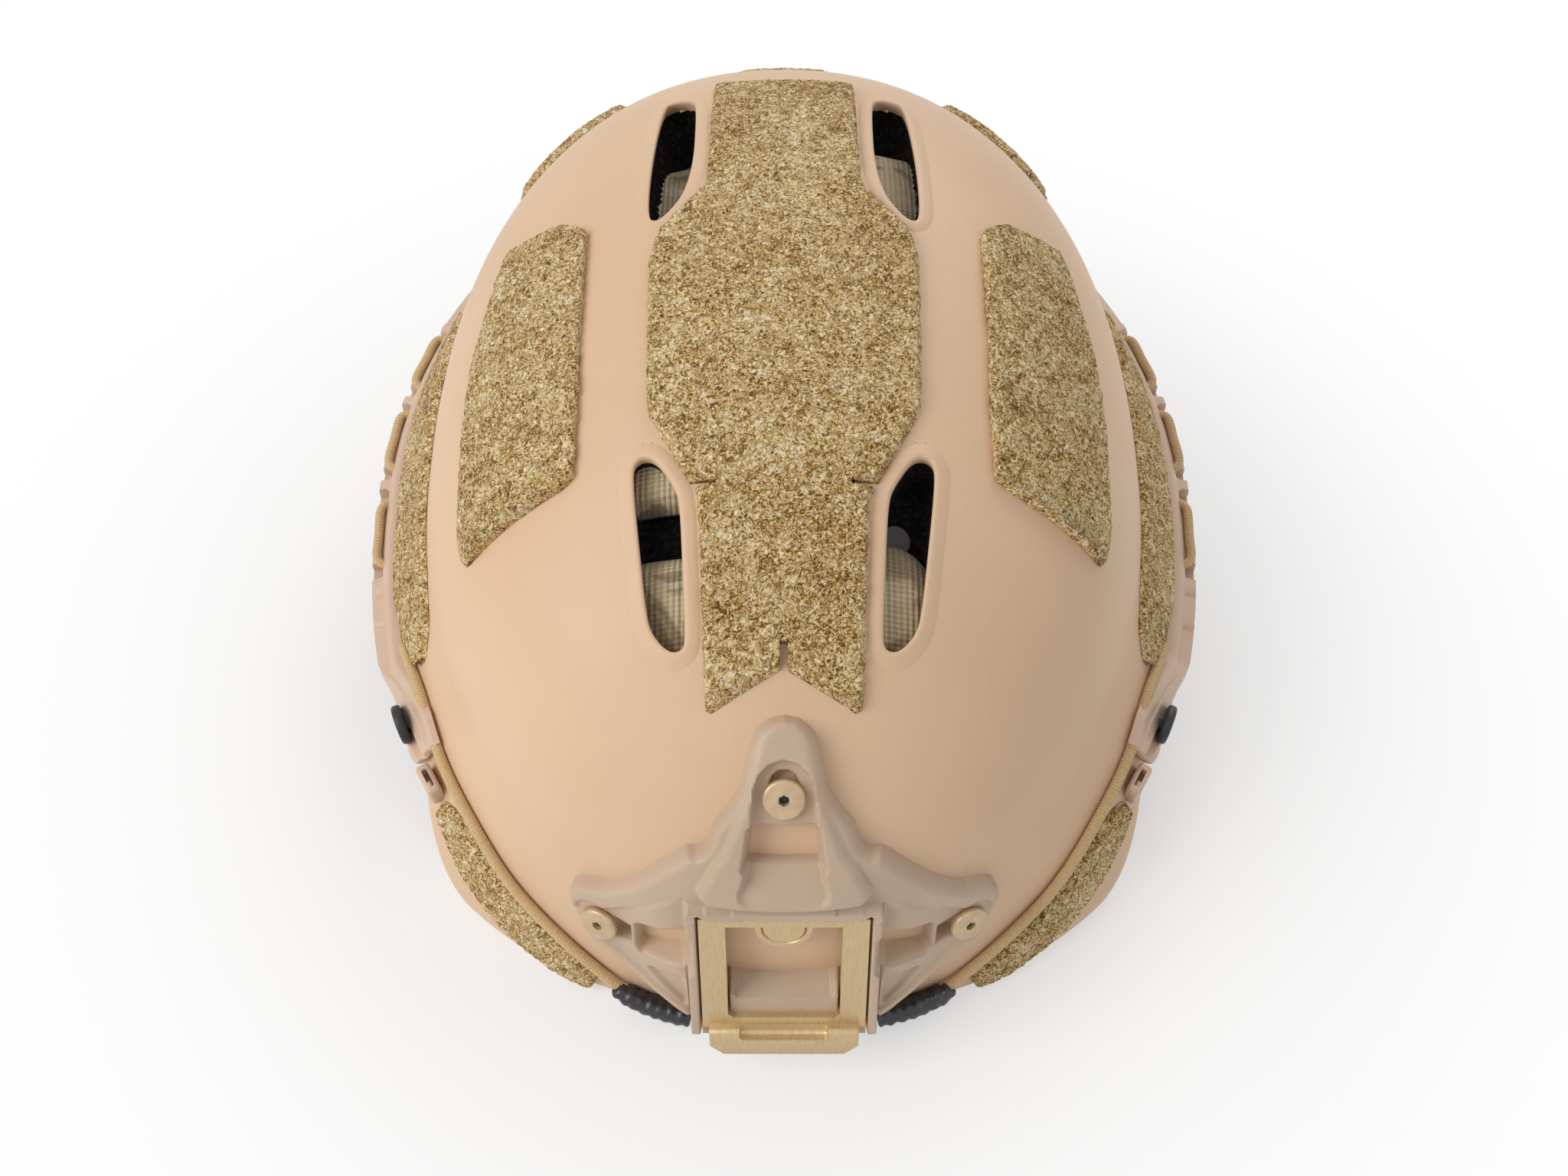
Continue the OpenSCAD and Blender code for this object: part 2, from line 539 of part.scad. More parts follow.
// Bungee on the left of the wearer's view, as azimuth, height and offset, from the rail to the shroud
bungee_off = bungee_d / 2 + 0.35;
bungee_route = [[70.5, 4.2], [66, 6.5], [62, 7.4], [53.7, 5.5], [45, 3], [36, -3], [27, -10], [19, -20]];
module bungee() {
    color(tan_cord) tube(smooth_path([for (q = bungee_route) shell_point(q[0], q[1], bungee_off)], 3), bungee_d / 2);
}
sleeve_route = [[19, -20], [16, -22.5], [13, -24.5], [10.5, -25.5]];
module bungee_sleeve() {
    color(black_plastic) tube(smooth_path([for (q = sleeve_route) shell_point(q[0], q[1], bungee_off + 1.2)], 2), bungee_d / 2 + 1.2);
}
module rail_lacing() {
    ledge = [3.3 + lace_d / 2 + 0.5, -2.5];
    back = [1.75, -7.8];
    function at(az, q) = shell_point(az, rail_top + q[1], q[0]);
    count = len(lace_spans) - 1;
    route = concat([at(lace_spans[0][0] - 2, back)],
        [for (i = [0:count]) each let (s = lace_spans[i], next = i < count ? lace_spans[i + 1][0] : s[1] + 4) [
            at(s[0], [1.9, -6]), at(s[0], [2, -3.4]), at(s[0] + 0.9, ledge), at(mix(s[0], s[1], 0.5), ledge),
            at(s[1] - 0.9, ledge), at(s[1], [2, -3.4]), at(s[1], [1.9, -6]), at(mix(s[1], next, 0.5), back)]]);
    color(tan_cord) tube(smooth_path(route, 2), lace_d / 2, 8);
}

nape_clear = 47;
// Clearance between the curved linings
lining_gap = 0.7;
// Impact liner, higher at the nape to leave room for the fit dial
liner_high = -wall - lining_gap;
liner_low = liner_high - liner_t;
liner_lift = 13;
module impact_liner() {
    color(foam_black) difference() {
        dome_wall(liner_high, liner_low, 48, liner_lift, nape_clear);
        vents(1.5);
        for (i = [0:2]) at_screw(i) translate([0, 0, -wall - 9]) cylinder(r = 8, h = 12, $fn = 32);
    }
}

// Comfort pads: cushions against the liner, thickest in the middle
pad_high = liner_low - lining_gap;
function crown_share(u, v) = 0.45 + 0.55 * pow(max(0, sin(180 * u) * sin(180 * v)), 0.5);
module top_pad(y0, y1, half0, half1, side = 0) {
    rows = 9;
    cols = 9;
    function y_at(r) = mix(y0, y1, r / rows);
    function draw(r) = 1 - 0.1 * sin(180 * r / rows);
    function x_at(r, c) = mix(-1, 1, c / cols) * mix(half0, half1, r / rows) * (1.06 - 0.1 * pow(abs(2 * r / rows - 1), 3));
    slab([for (r = [0:rows]) [for (c = [0:cols]) [x_at(r, c), y_at(r), top_z(x_at(r, c), y_at(r), pad_high)]]],
        [for (r = [0:rows]) [for (c = [0:cols])
            [x_at(r, c), y_at(r), top_z(x_at(r, c), y_at(r), pad_high) - pad_t * crown_share(r / rows, c / cols)]]]);
}
module side_pad(az0, az1, z0, z1) {
    rows = 9;
    cols = 6;
    function az_at(r, c) = mix(az0, az1, r / rows + 0.03 * (1 - 2 * r / rows) * pow(abs(2 * c / cols - 1), 3));
    function z_at(r, c) = mix(z1, z0, c / cols + 0.05 * (1 - 2 * c / cols) * pow(abs(2 * r / rows - 1), 3));
    slab([for (r = [0:rows]) [for (c = [0:cols]) shell_point(az_at(r, c), z_at(r, c), pad_high)]],
        [for (r = [0:rows]) [for (c = [0:cols])
            shell_point(az_at(r, c), z_at(r, c), pad_high - pad_t * crown_share(r / rows, c / cols))]]);
}
module pad_brow() { color(knit_camo) side_pad(-34, 34, -2, 26); }
module pad_front() { color(knit_camo) top_pad(-88, -44, 32, 38); }
module pad_crown() { color(knit_camo) top_pad(-38, 30, 34, 34); }
module pad_back() { color(knit_camo) top_pad(36, 84, 38, 34); }
module pad_nape() { color(knit_camo) side_pad(148, 212, -14, 22); }
module pad_side() { color(knit_camo) side_pad(66, 114, 4, 36); }

// Fit band: a strip round the brow and temples, and a yoke at the nape that the dial draws forward
band_t = 1.2;
band_high = liner_low - lining_gap;
module headband() {
    band_end = yoke_side[0][0] + fit_travel;
    keys = [[-band_end, -13, -3], [-70, -12, -2.5], [70, -12, -2.5], [band_end, -13, -3]];
    color(black_plastic) side_panel(keys, band_high - band_t, band_high, 7, 1);
}
yoke_t = 1.8;
dial_z = -56;
yoke_gap = 0.35;
// The yoke's offset runs from just inside the band to its place behind the head
function yoke_off(az) = mix(band_high - band_t - yoke_gap, band_high - 17, ramp(fold(az), 118, 152));
yoke_side = [[106, -12, -5], [114, -12, -5], [124, -22, -10], [134, -42, -28], [146, -60, -46], [158, -66, -48], [180, -68, -46]];
yoke_keys = concat(yoke_side, [for (i = [len(yoke_side) - 2:-1:0]) [360 - yoke_side[i][0], yoke_side[i][1], yoke_side[i][2]]]);
module nape_yoke() {
    rows = refine(yoke_keys, 5);
    color(black_plastic)
        slab([for (r = rows) [for (c = [0:1]) shell_point(r[0], mix(r[2], r[1], c), yoke_off(r[0]))]],
            [for (r = rows) [for (c = [0:1]) shell_point(r[0], mix(r[2], r[1], c), yoke_off(r[0]) - yoke_t)]]);
}
yoke_y = plan_y(180, dial_z, yoke_off(180));
housing_t = 7;
hub_r = 3;
// Pitch radius of the pinion that draws the band, and so the yoke, by fit_travel
pinion_r = 5;
module at_dial(depth) {
    translate([0, yoke_y + depth, dial_z]) rotate([-90, 0, 0]) children();
}
module dial_housing() {
    color(black_plastic) at_dial(seat_gap + 0.5) difference() {
        union() {
            cylinder(r = dial_r + 2, h = housing_t, $fn = 64);
            translate([0, 0, housing_t / 2]) cube([3.2 * dial_r, 15, housing_t], center = true);
        }
        translate([0, 0, 2]) cylinder(r = dial_r - 4, h = housing_t, $fn = 64);
        translate([0, 0, -1]) cylinder(r = hub_r + 0.08, h = housing_t, $fn = 40);
    }
}
module fit_dial() {
    grips = 18;
    color(black_plastic) at_dial(seat_gap + 0.5) {
        difference() {
            translate([0, 0, housing_t + 0.3]) cylinder(r = dial_r, h = dial_t, $fn = 64);
            for (i = [0:grips - 1]) rotate([0, 0, i * 360 / grips]) translate([dial_r + 0.6, 0, housing_t + 1.8])
                cylinder(r = 1.5, h = dial_t, $fn = 16);
        }
        // Spindle and pinion inside the housing
        translate([0, 0, 0.2]) cylinder(r = hub_r, h = housing_t + 1, $fn = 40);
        translate([0, 0, 2.4]) cylinder(r = pinion_r, h = housing_t - 2.5, $fn = 24);
    }
}
module yoke_pad() {
    rows = 8;
    cols = 5;
    function az_at(r) = mix(152, 208, r / rows);
    function z_at(c) = mix(-47, -67, c / cols);
    function face(az) = yoke_off(az) - yoke_t - 0.3;
    color(knit_camo)
        slab([for (r = [0:rows]) [for (c = [0:cols]) shell_point(az_at(r), z_at(c), face(az_at(r)))]],
            [for (r = [0:rows]) [for (c = [0:cols])
                shell_point(az_at(r), z_at(c), face(az_at(r)) - 7 * crown_share(r / rows, c / cols))]]);
}

// Harness, tucked inside the helmet and lying on the ground plane
module ribbon(p, across, t = strap_t, w = strap_w) {
    loft([for (i = [0:len(p) - 1]) let (u = unit(across[i]) * w / 2, v = unit(cross(path_way(p, i), across[i])) * t / 2)
        [p[i] - u - v, p[i] + u - v, p[i] + u + v, p[i] - u + v]]);
}
strap_off = -wall - lining_gap - strap_t / 2;
// Direction along the shell at an azimuth
function along(az, z) = unit(shell_point(az + 2, z, strap_off) - shell_point(az - 2, z, strap_off));
lie = 0.5 + strap_t / 2;
// Rise of the ground plane in the worn frame, per unit of Y
slope = -tan(rest_pitch);
slider_x = 66;
slider_y = -12;
module front_strap() {
    az = rail_screw_places[0][0];
    a = shell_point(az, ear_z + 10.5, strap_off);
    b = shell_point(az, -26, strap_off);
    w = along(az, -20);
    color(black_plastic) difference() {
        ribbon([a, b, b + [-1.5, 0, -8], table_point(b[0] - 6, b[1] + 1, 9), table_point(b[0] - 12, b[1] + 3, lie + 1.2),
            table_point(b[0] - 20, b[1] + 9, lie), table_point(slider_x + 10 + seat_gap, slider_y - 12, lie)],
            [w, w, [0, 1, slope / 2], [0.05, 1, slope], [0.2, 1, slope], [0.4, 1, slope], [0, 1, slope]]);
        flank_bores([rail_screw_places[0]], anchor_r + 0.2);
    }
}
module rear_strap() {
    az = rail_screw_places[1][0];
    a = shell_point(az, ear_z + 10.5, strap_off);
    b = shell_point(az, -26, strap_off);
    w = along(az, -20);
    color(black_plastic) difference() {
        ribbon([a, b, b + [-1.5, 0, -14], table_point(b[0] - 6, b[1] - 2, 12), table_point(b[0] - 13, b[1] - 5, lie + 1.6),
            table_point(b[0] - 22, b[1] - 19, lie), table_point(slider_x + 10 + seat_gap, slider_y + 12, lie)],
            [w, w, [0, 1, slope / 2], [-0.1, 1, slope], [-0.3, 1, slope], [-0.7, 1, slope], [0, 1, slope]]);
        flank_bores([rail_screw_places[1]], anchor_r + 0.2);
    }
}
slider_h = 3.6;
module strap_slider() {
    translate(table_point(slider_x, slider_y, 0.4 + slider_h / 2)) rotate([-rest_pitch, 0, 0])
        color(black_plastic) difference() {
            cube([20, 46, slider_h], center = true);
            for (y = [-12, 12]) translate([-4.5, y, 0]) cube([3, strap_w * 0.8, 8], center = true);
        }
}
// Height at which the chin strap passes over the slider
over = 0.4 + slider_h + 0.4 + strap_t / 2;
buckle_x = 16;
buckle_h = 8;
plug_travel = 16;
buckle_mid = over;
module on_chin_line(x) {
    translate(table_point(x, slider_y, buckle_mid)) rotate([-rest_pitch, 0, 0]) children();
}
// The strap of the plug side slides over its slider when the buckle opens
module chin_strap_plug() {
    color(black_plastic) on_chin_line(0) translate([(buckle_x + 22 + slider_x + 8) / 2, 0, 0])
        cube([slider_x + 8 - buckle_x - 22, strap_w, strap_t], center = true);
}
module buckle_plug() {
    color(black_plastic) on_chin_line(buckle_x) {
        difference() {
            translate([16, 0, 0]) cube([11, 25, 6.4], center = true);
            translate([16.5, 0, 0]) cube([4, strap_w, 10], center = true);
        }
        for (side = [-1, 1]) translate([10.7 - plug_travel / 2, side * 7.5, 0]) cube([plug_travel - 0.6, 3, 3.6], center = true);
        translate([10.5 - plug_travel / 2, 0, 0]) cube([plug_travel, 3.4, 3], center = true);
    }
}
module buckle_socket() {
    color(black_plastic) on_chin_line(buckle_x) difference() {
        translate([-2, 0, 0]) cube([24.4, 26, buckle_h - 0.6], center = true);
        translate([2.5, 0, 0]) cube([20, 19, 4.4], center = true);
    }
}
module chin_strap_socket() {
    color(black_plastic) on_chin_line(0) translate([(buckle_x - 14.6 - slider_x - 8) / 2, 0, 0])
        cube([buckle_x - 14.6 + slider_x + 8, strap_w, strap_t], center = true);
}
module chin_cup() {
    rows = 8;
    cols = 4;
    function x_at(r) = mix(-50, -8, r / rows);
    function h_at(r, c) = buckle_mid + strap_t / 2 + 0.3;
    function y_at(r, c) = slider_y + mix(16, -16, c / cols) * (0.75 + 0.25 * sin(180 * r / rows));
    color(foam_black)
        slab([for (r = [0:rows]) [for (c = [0:cols])
            table_point(x_at(r), y_at(r, c), h_at(r, c) + 6 * crown_share(r / rows, c / cols))]],
            [for (r = [0:rows]) [for (c = [0:cols]) table_point(x_at(r), y_at(r, c), h_at(r, c))]]);
}

on_ground() shell();
on_ground() centre_loop_panel();
on_ground() upper_side_loop();  // upper_side_loop_left
on_ground() mirror([1, 0, 0]) upper_side_loop();  // upper_side_loop_right
on_ground() side_loop();  // side_loop_left
on_ground() mirror([1, 0, 0]) side_loop();  // side_loop_right
on_ground() front_quarter_loop();  // front_quarter_loop_left
on_ground() mirror([1, 0, 0]) front_quarter_loop();  // front_quarter_loop_right
on_ground() rear_quarter_loop();  // rear_quarter_loop_left
on_ground() mirror([1, 0, 0]) rear_quarter_loop();  // rear_quarter_loop_right
on_ground() rear_loop_panel();
on_ground() shroud_body();
on_ground() shroud_insert();
on_ground() shroud_screws();
on_ground() shroud_nuts();
on_ground() rail();  // rail_left
on_ground() mirror([1, 0, 0]) rail();  // rail_right
on_ground() rail_screws();
on_ground() rail_knobs();
on_ground() rail_clip();  // rail_clip_left
on_ground() mirror([1, 0, 0]) rail_clip();  // rail_clip_right
on_ground() rail_lacing();  // rail_lacing_left
on_ground() mirror([1, 0, 0]) rail_lacing();  // rail_lacing_right
on_ground() bungee();  // bungee_left
on_ground() mirror([1, 0, 0]) bungee();  // bungee_right
on_ground() bungee_sleeve();  // bungee_sleeve_left
on_ground() mirror([1, 0, 0]) bungee_sleeve();  // bungee_sleeve_right
on_ground() impact_liner();
on_ground() pad_brow();
on_ground() pad_front();
on_ground() pad_crown();
on_ground() pad_back();
on_ground() pad_nape();
on_ground() pad_side();  // pad_side_left
on_ground() mirror([1, 0, 0]) pad_side();  // pad_side_right
on_ground() headband();
on_ground() nape_yoke();
on_ground() dial_housing();
on_ground() fit_dial();
on_ground() yoke_pad();
on_ground() front_strap();  // front_strap_left
on_ground() mirror([1, 0, 0]) front_strap();  // front_strap_right
on_ground() rear_strap();  // rear_strap_left
on_ground() mirror([1, 0, 0]) rear_strap();  // rear_strap_right
on_ground() strap_slider();  // strap_slider_left
on_ground() mirror([1, 0, 0]) strap_slider();  // strap_slider_right
on_ground() chin_strap_plug();
on_ground() buckle_plug();
on_ground() buckle_socket();
on_ground() chin_strap_socket();
on_ground() chin_cup();
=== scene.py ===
# %% [markdown]
# # A combat helmet, piece by piece
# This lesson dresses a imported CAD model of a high-cut helmet: a tan shell with loop panels, a brow
# shroud with a metal insert, side rails laced with elastic cord, and the linings and harness inside.
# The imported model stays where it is. Every new piece is built around it, in metres, and rides on one
# of its bodies.

# %% Load the frame
import math

import bmesh
import bpy
import numpy as np
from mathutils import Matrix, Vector, noise


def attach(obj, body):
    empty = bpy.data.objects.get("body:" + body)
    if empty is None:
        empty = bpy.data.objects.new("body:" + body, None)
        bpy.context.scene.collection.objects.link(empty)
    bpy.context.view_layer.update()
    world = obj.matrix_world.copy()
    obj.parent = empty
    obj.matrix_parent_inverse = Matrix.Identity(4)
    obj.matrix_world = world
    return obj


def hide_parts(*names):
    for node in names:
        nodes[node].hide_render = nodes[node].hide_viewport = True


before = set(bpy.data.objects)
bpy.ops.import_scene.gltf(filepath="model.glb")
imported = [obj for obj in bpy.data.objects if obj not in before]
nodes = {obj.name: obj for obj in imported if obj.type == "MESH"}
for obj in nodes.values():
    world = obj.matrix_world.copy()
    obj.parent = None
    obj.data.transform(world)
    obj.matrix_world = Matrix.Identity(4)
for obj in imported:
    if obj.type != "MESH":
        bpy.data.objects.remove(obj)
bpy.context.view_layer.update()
SIDES = ((1, "left"), (-1, "right"))  # +X is the wearer's left
print("nodes in the frame:", len(nodes))

# %% [markdown]
# # One surface for everything
# Nearly every piece of a helmet follows the shell, so the shell's surface is written once as a
# formula, in millimetres and in the worn position: brow towards -Y, crown up. It is an oval whose
# corners are a little fuller than an ellipse's. A point is an azimuth from the brow in degrees, a
# height and an offset outwards. `standing` tips a worn point forward onto the table, in metres.

# %% The shell's surface
HALF_W, HALF_L, CROWN = 103.0, 140.0, 90.0
BULGE, SKIRT, CREASE, SKIRT_H = 2.2, 260.0, 22.0, 40.0
WALL = 3.0
PITCH = math.radians(12)
BROW_Y, BROW_Z, EAR_Z = 148.0, -30.0, -24.0
LIFT = BROW_Y * math.sin(PITCH) - BROW_Z * math.cos(PITCH)
SHIFT = 1.9


def ramp(value, low, high):
    t = min(1.0, max(0.0, (value - low) / (high - low)))
    return t * t * (3 - 2 * t)


def mix(a, b, t):
    return a + (b - a) * t


def fold(az):
    return 180 - abs(180 - abs(az))


def power(value, e):
    return math.copysign(abs(value) ** e, value)


def narrowing(z, off):
    c = CROWN + off if z > 0 else SKIRT
    return max(0.0, 1 - (abs(z) / c) ** BULGE) ** (1 / BULGE)


def flare(az, z):
    most = mix(1.3, 0.62, ramp(fold(az), 40, 62))
    t = (CREASE - z) / SKIRT_H
    t = most - max(0.0, most - t) if t < most - 0.06 else most - 0.06 * math.exp(-(t - most + 0.06) / 0.06)
    return 0.0 if t <= 0 else 2 * t * t if t < 0.25 else t - 0.125


def plan_x(az, z, off):
    return (HALF_W + off) * narrowing(z, off) + 27 * flare(az, z) * (1 - 0.75 * ramp(fold(az), 90, 140))


def plan_y(az, z, off):
    return (HALF_L + off) * narrowing(z, off) + (8 if fold(az) < 90 else 4) * flare(az, z)


def shell_point(az, z, off=0.0):
    a = math.radians(az)
    return (plan_x(az, z, off) * power(math.sin(a), 2 / BULGE),
            -plan_y(az, z, off) * power(math.cos(a), 2 / BULGE), z)


def top_z(x, y, off=0.0):
    a, b = HALF_W + off, HALF_L + off
    left = 1 - (abs(x) / a) ** BULGE - (abs(y) / b) ** BULGE
    return (CROWN + off) * max(0.001, left) ** (1 / BULGE)


def front_y(x, z, off=0.0):
    a = plan_x(20, z, off)
    return -plan_y(20, z, off) * max(0.001, 1 - (abs(x) / a) ** BULGE) ** (1 / BULGE)


def ground_z(y):
    return BROW_Z - (y + BROW_Y) * math.tan(PITCH)


def ear_cut(az):
    return ramp(fold(az), 44, 62) * (1 - ramp(fold(az), 106, 134))


def rim_z(az, off=0.0, lift=0.0):
    z = BROW_Z
    for _ in range(5):
        z = mix(ground_z(shell_point(az, z, off)[1]), EAR_Z, ear_cut(az)) + lift
    return z


def standing(point):
    x, y, z = point
    c, s = math.cos(PITCH), math.sin(PITCH)
    return Vector((x, y * c - z * s + SHIFT, y * s + z * c + LIFT)) / 1000


print("shell length in mm:", round(plan_y(0, -24, 0) + plan_y(180, -24, 0)))

# %% [markdown]
# # Sheets that take a shape
# A grid is the simplest start for a skin, a pad or a strap: `create_grid` makes it flat in the unit
# square, it is extruded once for its thickness, and then each vertex moves to its place on the
# helmet. The UV map is written while the grid is still flat, in real millimetres.

# %% A helper for shaped grids
def shaped(place, across, along, size=(1.0, 1.0), seam=False, pole=False, keep=None, thick=True):
    bm = bmesh.new()
    uv = bm.loops.layers.uv.new("UVMap")
    bmesh.ops.create_grid(bm, x_segments=across, y_segments=along, size=0.5)
    bmesh.ops.translate(bm, verts=bm.verts, vec=(0.5, 0.5, 0))
    for face in bm.faces:
        for loop in face.loops:
            loop[uv].uv = (loop.vert.co.x * size[0], loop.vert.co.y * size[1])
    if seam:
        for v in bm.verts:
            if v.co.x > 1 - 1e-5:
                v.co.x = 0
        bmesh.ops.remove_doubles(bm, verts=bm.verts, dist=1e-6)
    if pole:
        top = [v for v in bm.verts if v.co.y > 1 - 1e-5]
        bmesh.ops.pointmerge(bm, verts=top, merge_co=(0.5, 1, 0))
    if keep:
        gone = [f for f in bm.faces if not keep(*middle(f, seam))]
        bmesh.ops.delete(bm, geom=gone, context="FACES")
    if thick:
        made = bmesh.ops.extrude_face_region(bm, geom=bm.faces[:])
        for v in made["geom"]:
            if isinstance(v, bmesh.types.BMVert):
                v.co.z = 1
    for v in bm.verts:
        v.co = place(v.co.x, v.co.y, v.co.z)
    bmesh.ops.remove_doubles(bm, verts=bm.verts, dist=2e-7)
    bmesh.ops.recalc_face_normals(bm, faces=bm.faces)
    return bm


def middle(face, seam):
    xs = [v.co.x for v in face.verts]
    if seam and max(xs) - min(xs) > 0.5:
        xs = [x + 1 if x < 0.5 else x for x in xs]
    return sum(xs) / len(xs), sum(v.co.y for v in face.verts) / len(face.verts)


# %% Helpers that turn a bmesh into a finished piece
def meshed(name, bm):
    mesh = bpy.data.meshes.new(name)
    bm.to_mesh(mesh)
    bm.free()
    return mesh


def linked(name, data):
    obj = bpy.data.objects.new(name, data)
    bpy.context.scene.collection.objects.link(obj)
    return obj


def piece(name, bm, paint, body="root", instead=(), sharp=40):
    mesh = meshed(name, bm)
    mesh.polygons.foreach_set("use_smooth", [True] * len(mesh.polygons))
    mesh.set_sharp_from_angle(angle=math.radians(sharp))
    obj = linked(name, mesh)
    mesh.materials.append(paint.material)
    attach(obj, body)
    if instead:
        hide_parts(*instead)
    return obj


# %% [markdown]
# # Shader maths as Python
# A material is a small program. Wrapping a socket in a class with `+`, `-` and `*` lets a mask read
# like arithmetic, and each operator adds one Math node.

# %% Sockets as numbers
class Wire:
    """What one node puts out."""

    def __init__(self, paint, socket):
        self.paint = paint
        self.socket = socket

    def maths(self, operation, *values):
        return self.paint.node("ShaderNodeMath", {"operation": operation}, dict(enumerate(values)))

    def __add__(self, other):
        return self.maths("ADD", self, other)

    def __sub__(self, other):
        return self.maths("SUBTRACT", self, other)

    def __rsub__(self, other):
        return self.maths("SUBTRACT", other, self)

    def __mul__(self, other):
        return self.maths("MULTIPLY", self, other)

    __radd__ = __add__
    __rmul__ = __mul__

    def step(self, low, high):
        return self.paint.node("ShaderNodeMapRange", {"interpolation_type": "SMOOTHSTEP"},
                               {0: self, 1: low, 2: high, 3: 0.0, 4: 1.0})


# %% A material as a class
class Paint:
    """One material, built from its shader outwards."""

    def __init__(self, name, **fixed):
        self.material = bpy.data.materials.new(name)
        self.material.use_nodes = True
        self.tree = self.material.node_tree
        self.shader = self.tree.nodes["Principled BSDF"]
        for socket, value in fixed.items():
            self.shader.inputs[socket.replace("_", " ")].default_value = value

    def node(self, kind, settings=None, inputs=None, out=0):
        made = self.tree.nodes.new(kind)
        for key, value in (settings or {}).items():
            if key == "stops":
                set_stops(made.color_ramp, value)
            else:
                setattr(made, key, value)
        for key, value in (inputs or {}).items():
            if isinstance(value, Wire):
                self.tree.links.new(value.socket, made.inputs[key])
            else:
                made.inputs[key].default_value = value
        return Wire(self, made.outputs[out])

    def feed(self, **wires):
        for socket, wire in wires.items():
            self.tree.links.new(wire.socket, self.shader.inputs[socket.replace("_", " ")])

    def place(self, scale=(1, 1, 1), uv=False):
        spot = self.node("ShaderNodeTexCoord", out="UV" if uv else "Object")
        return self.node("ShaderNodeMapping", {}, {"Vector": spot, "Scale": scale})

    def grain(self, place, scale, detail=3.0, rough=0.55, distortion=0.0):
        return self.node("ShaderNodeTexNoise", {}, {
            "Vector": place, "Scale": scale, "Detail": detail, "Roughness": rough, "Distortion": distortion})

    def bands(self, place, direction, scale, distortion, detail=2.0):
        return self.node("ShaderNodeTexWave", {"bands_direction": direction}, {
            "Vector": place, "Scale": scale, "Distortion": distortion, "Detail": detail})

    def ramped(self, mask, stops):
        return self.node("ShaderNodeValToRGB", {"stops": stops}, {0: mask})

    def bumped(self, height, strength, distance):
        return self.node("ShaderNodeBump", {}, {
            "Strength": strength, "Distance": distance, "Height": height})


def set_stops(ramp_data, stops):
    while len(ramp_data.elements) < len(stops):
        ramp_data.elements.new(0.5)
    for element, (spot, colour) in zip(ramp_data.elements, stops):
        element.position = spot
        element.color = colour


def tone(r, g, b):
    """A colour as it looks on a screen, from 0 to 255, as the renderer's linear colour."""
    line = [(c / 255 / 12.92) if c < 10 else ((c / 255 + 0.055) / 1.055) ** 2.4 for c in (r, g, b)]
    return (*line, 1.0)


# %% [markdown]
# # Finishes of the hard pieces
# The shell is painted polymer with a fine tooth, the shroud and rails are a smoother moulding with a
# little more sheen, and the insert is metal with a gold tan anodised layer. Each gets its tooth from a
# small noise in its bump and a faint drift of colour from a wide one.

# %% Paint of the shell
shell_paint = Paint("shell_paint", Roughness=0.5, Specular_IOR_Level=0.38)
spot = shell_paint.place()
tooth = shell_paint.grain(spot, 900, 2.0)
drift = shell_paint.grain(spot, 18, 3.0)
shade = shell_paint.ramped(drift, [(0.3, tone(223, 189, 156)), (0.7, tone(229, 196, 163))])
shell_paint.feed(Base_Color=shade,
                 Roughness=tooth * 0.22 + 0.4,
                 Normal=shell_paint.bumped(tooth + shell_paint.grain(spot, 260, 1.0) * 0.8, 0.22, 0.0003))

# %% Moulded polymer, in tan and in black
def moulding(name, low, high, rough, tooth_size=700, strength=0.14):
    paint = Paint(name, Roughness=rough, Specular_IOR_Level=0.45)
    at = paint.place()
    fine = paint.grain(at, tooth_size, 2.0)
    wide = paint.grain(at, 35, 3.0)
    paint.feed(Base_Color=paint.ramped(wide, [(0.3, low), (0.7, high)]),
               Roughness=fine * 0.2 + (rough - 0.1),
               Normal=paint.bumped(fine, strength, 0.0003))
    return paint


polymer_tan = moulding("polymer_tan", tone(196, 172, 147), tone(205, 181, 156), 0.46)
rail_tan = moulding("rail_tan", tone(212, 183, 160), tone(219, 190, 166), 0.44)
black_nylon = moulding("black_nylon", tone(34, 33, 36), tone(42, 41, 44), 0.42)
shadow_black = moulding("shadow_black", tone(18, 17, 18), tone(24, 22, 23), 0.8)

# %% Metals
def metal(name, metallic, low, high, size=500, spread=(0.3, 0.7), rough=(0.3, 0.22), stretch=(1, 1, 1),
          relief=0.0):
    """Worn metal: the same noise drives the colour, the roughness and, with a relief, the bump."""
    paint = Paint(name, Metallic=metallic)
    wear = paint.grain(paint.place(stretch), size, 3.0)
    paint.feed(Base_Color=paint.ramped(wear, [(spread[0], low), (spread[1], high)]),
               Roughness=wear * rough[0] + rough[1])
    if relief:
        paint.feed(Normal=paint.bumped(wear, relief, 0.0002))
    return paint


gold_metal = metal("gold_metal", 0.6, tone(196, 170, 126), tone(214, 190, 148), 260, (0.25, 0.75), (0.2, 0.3),
                   (9, 1, 1), 0.08)
screw_tan = metal("screw_tan", 0.35, tone(196, 168, 132), tone(214, 188, 152), 420, (0.3, 0.75), (0.25, 0.28),
                  relief=0.1)
steel = metal("steel", 1.0, tone(150, 150, 152), tone(176, 176, 178))
black_metal = metal("black_metal", 0.7, tone(30, 32, 34), tone(52, 54, 56))
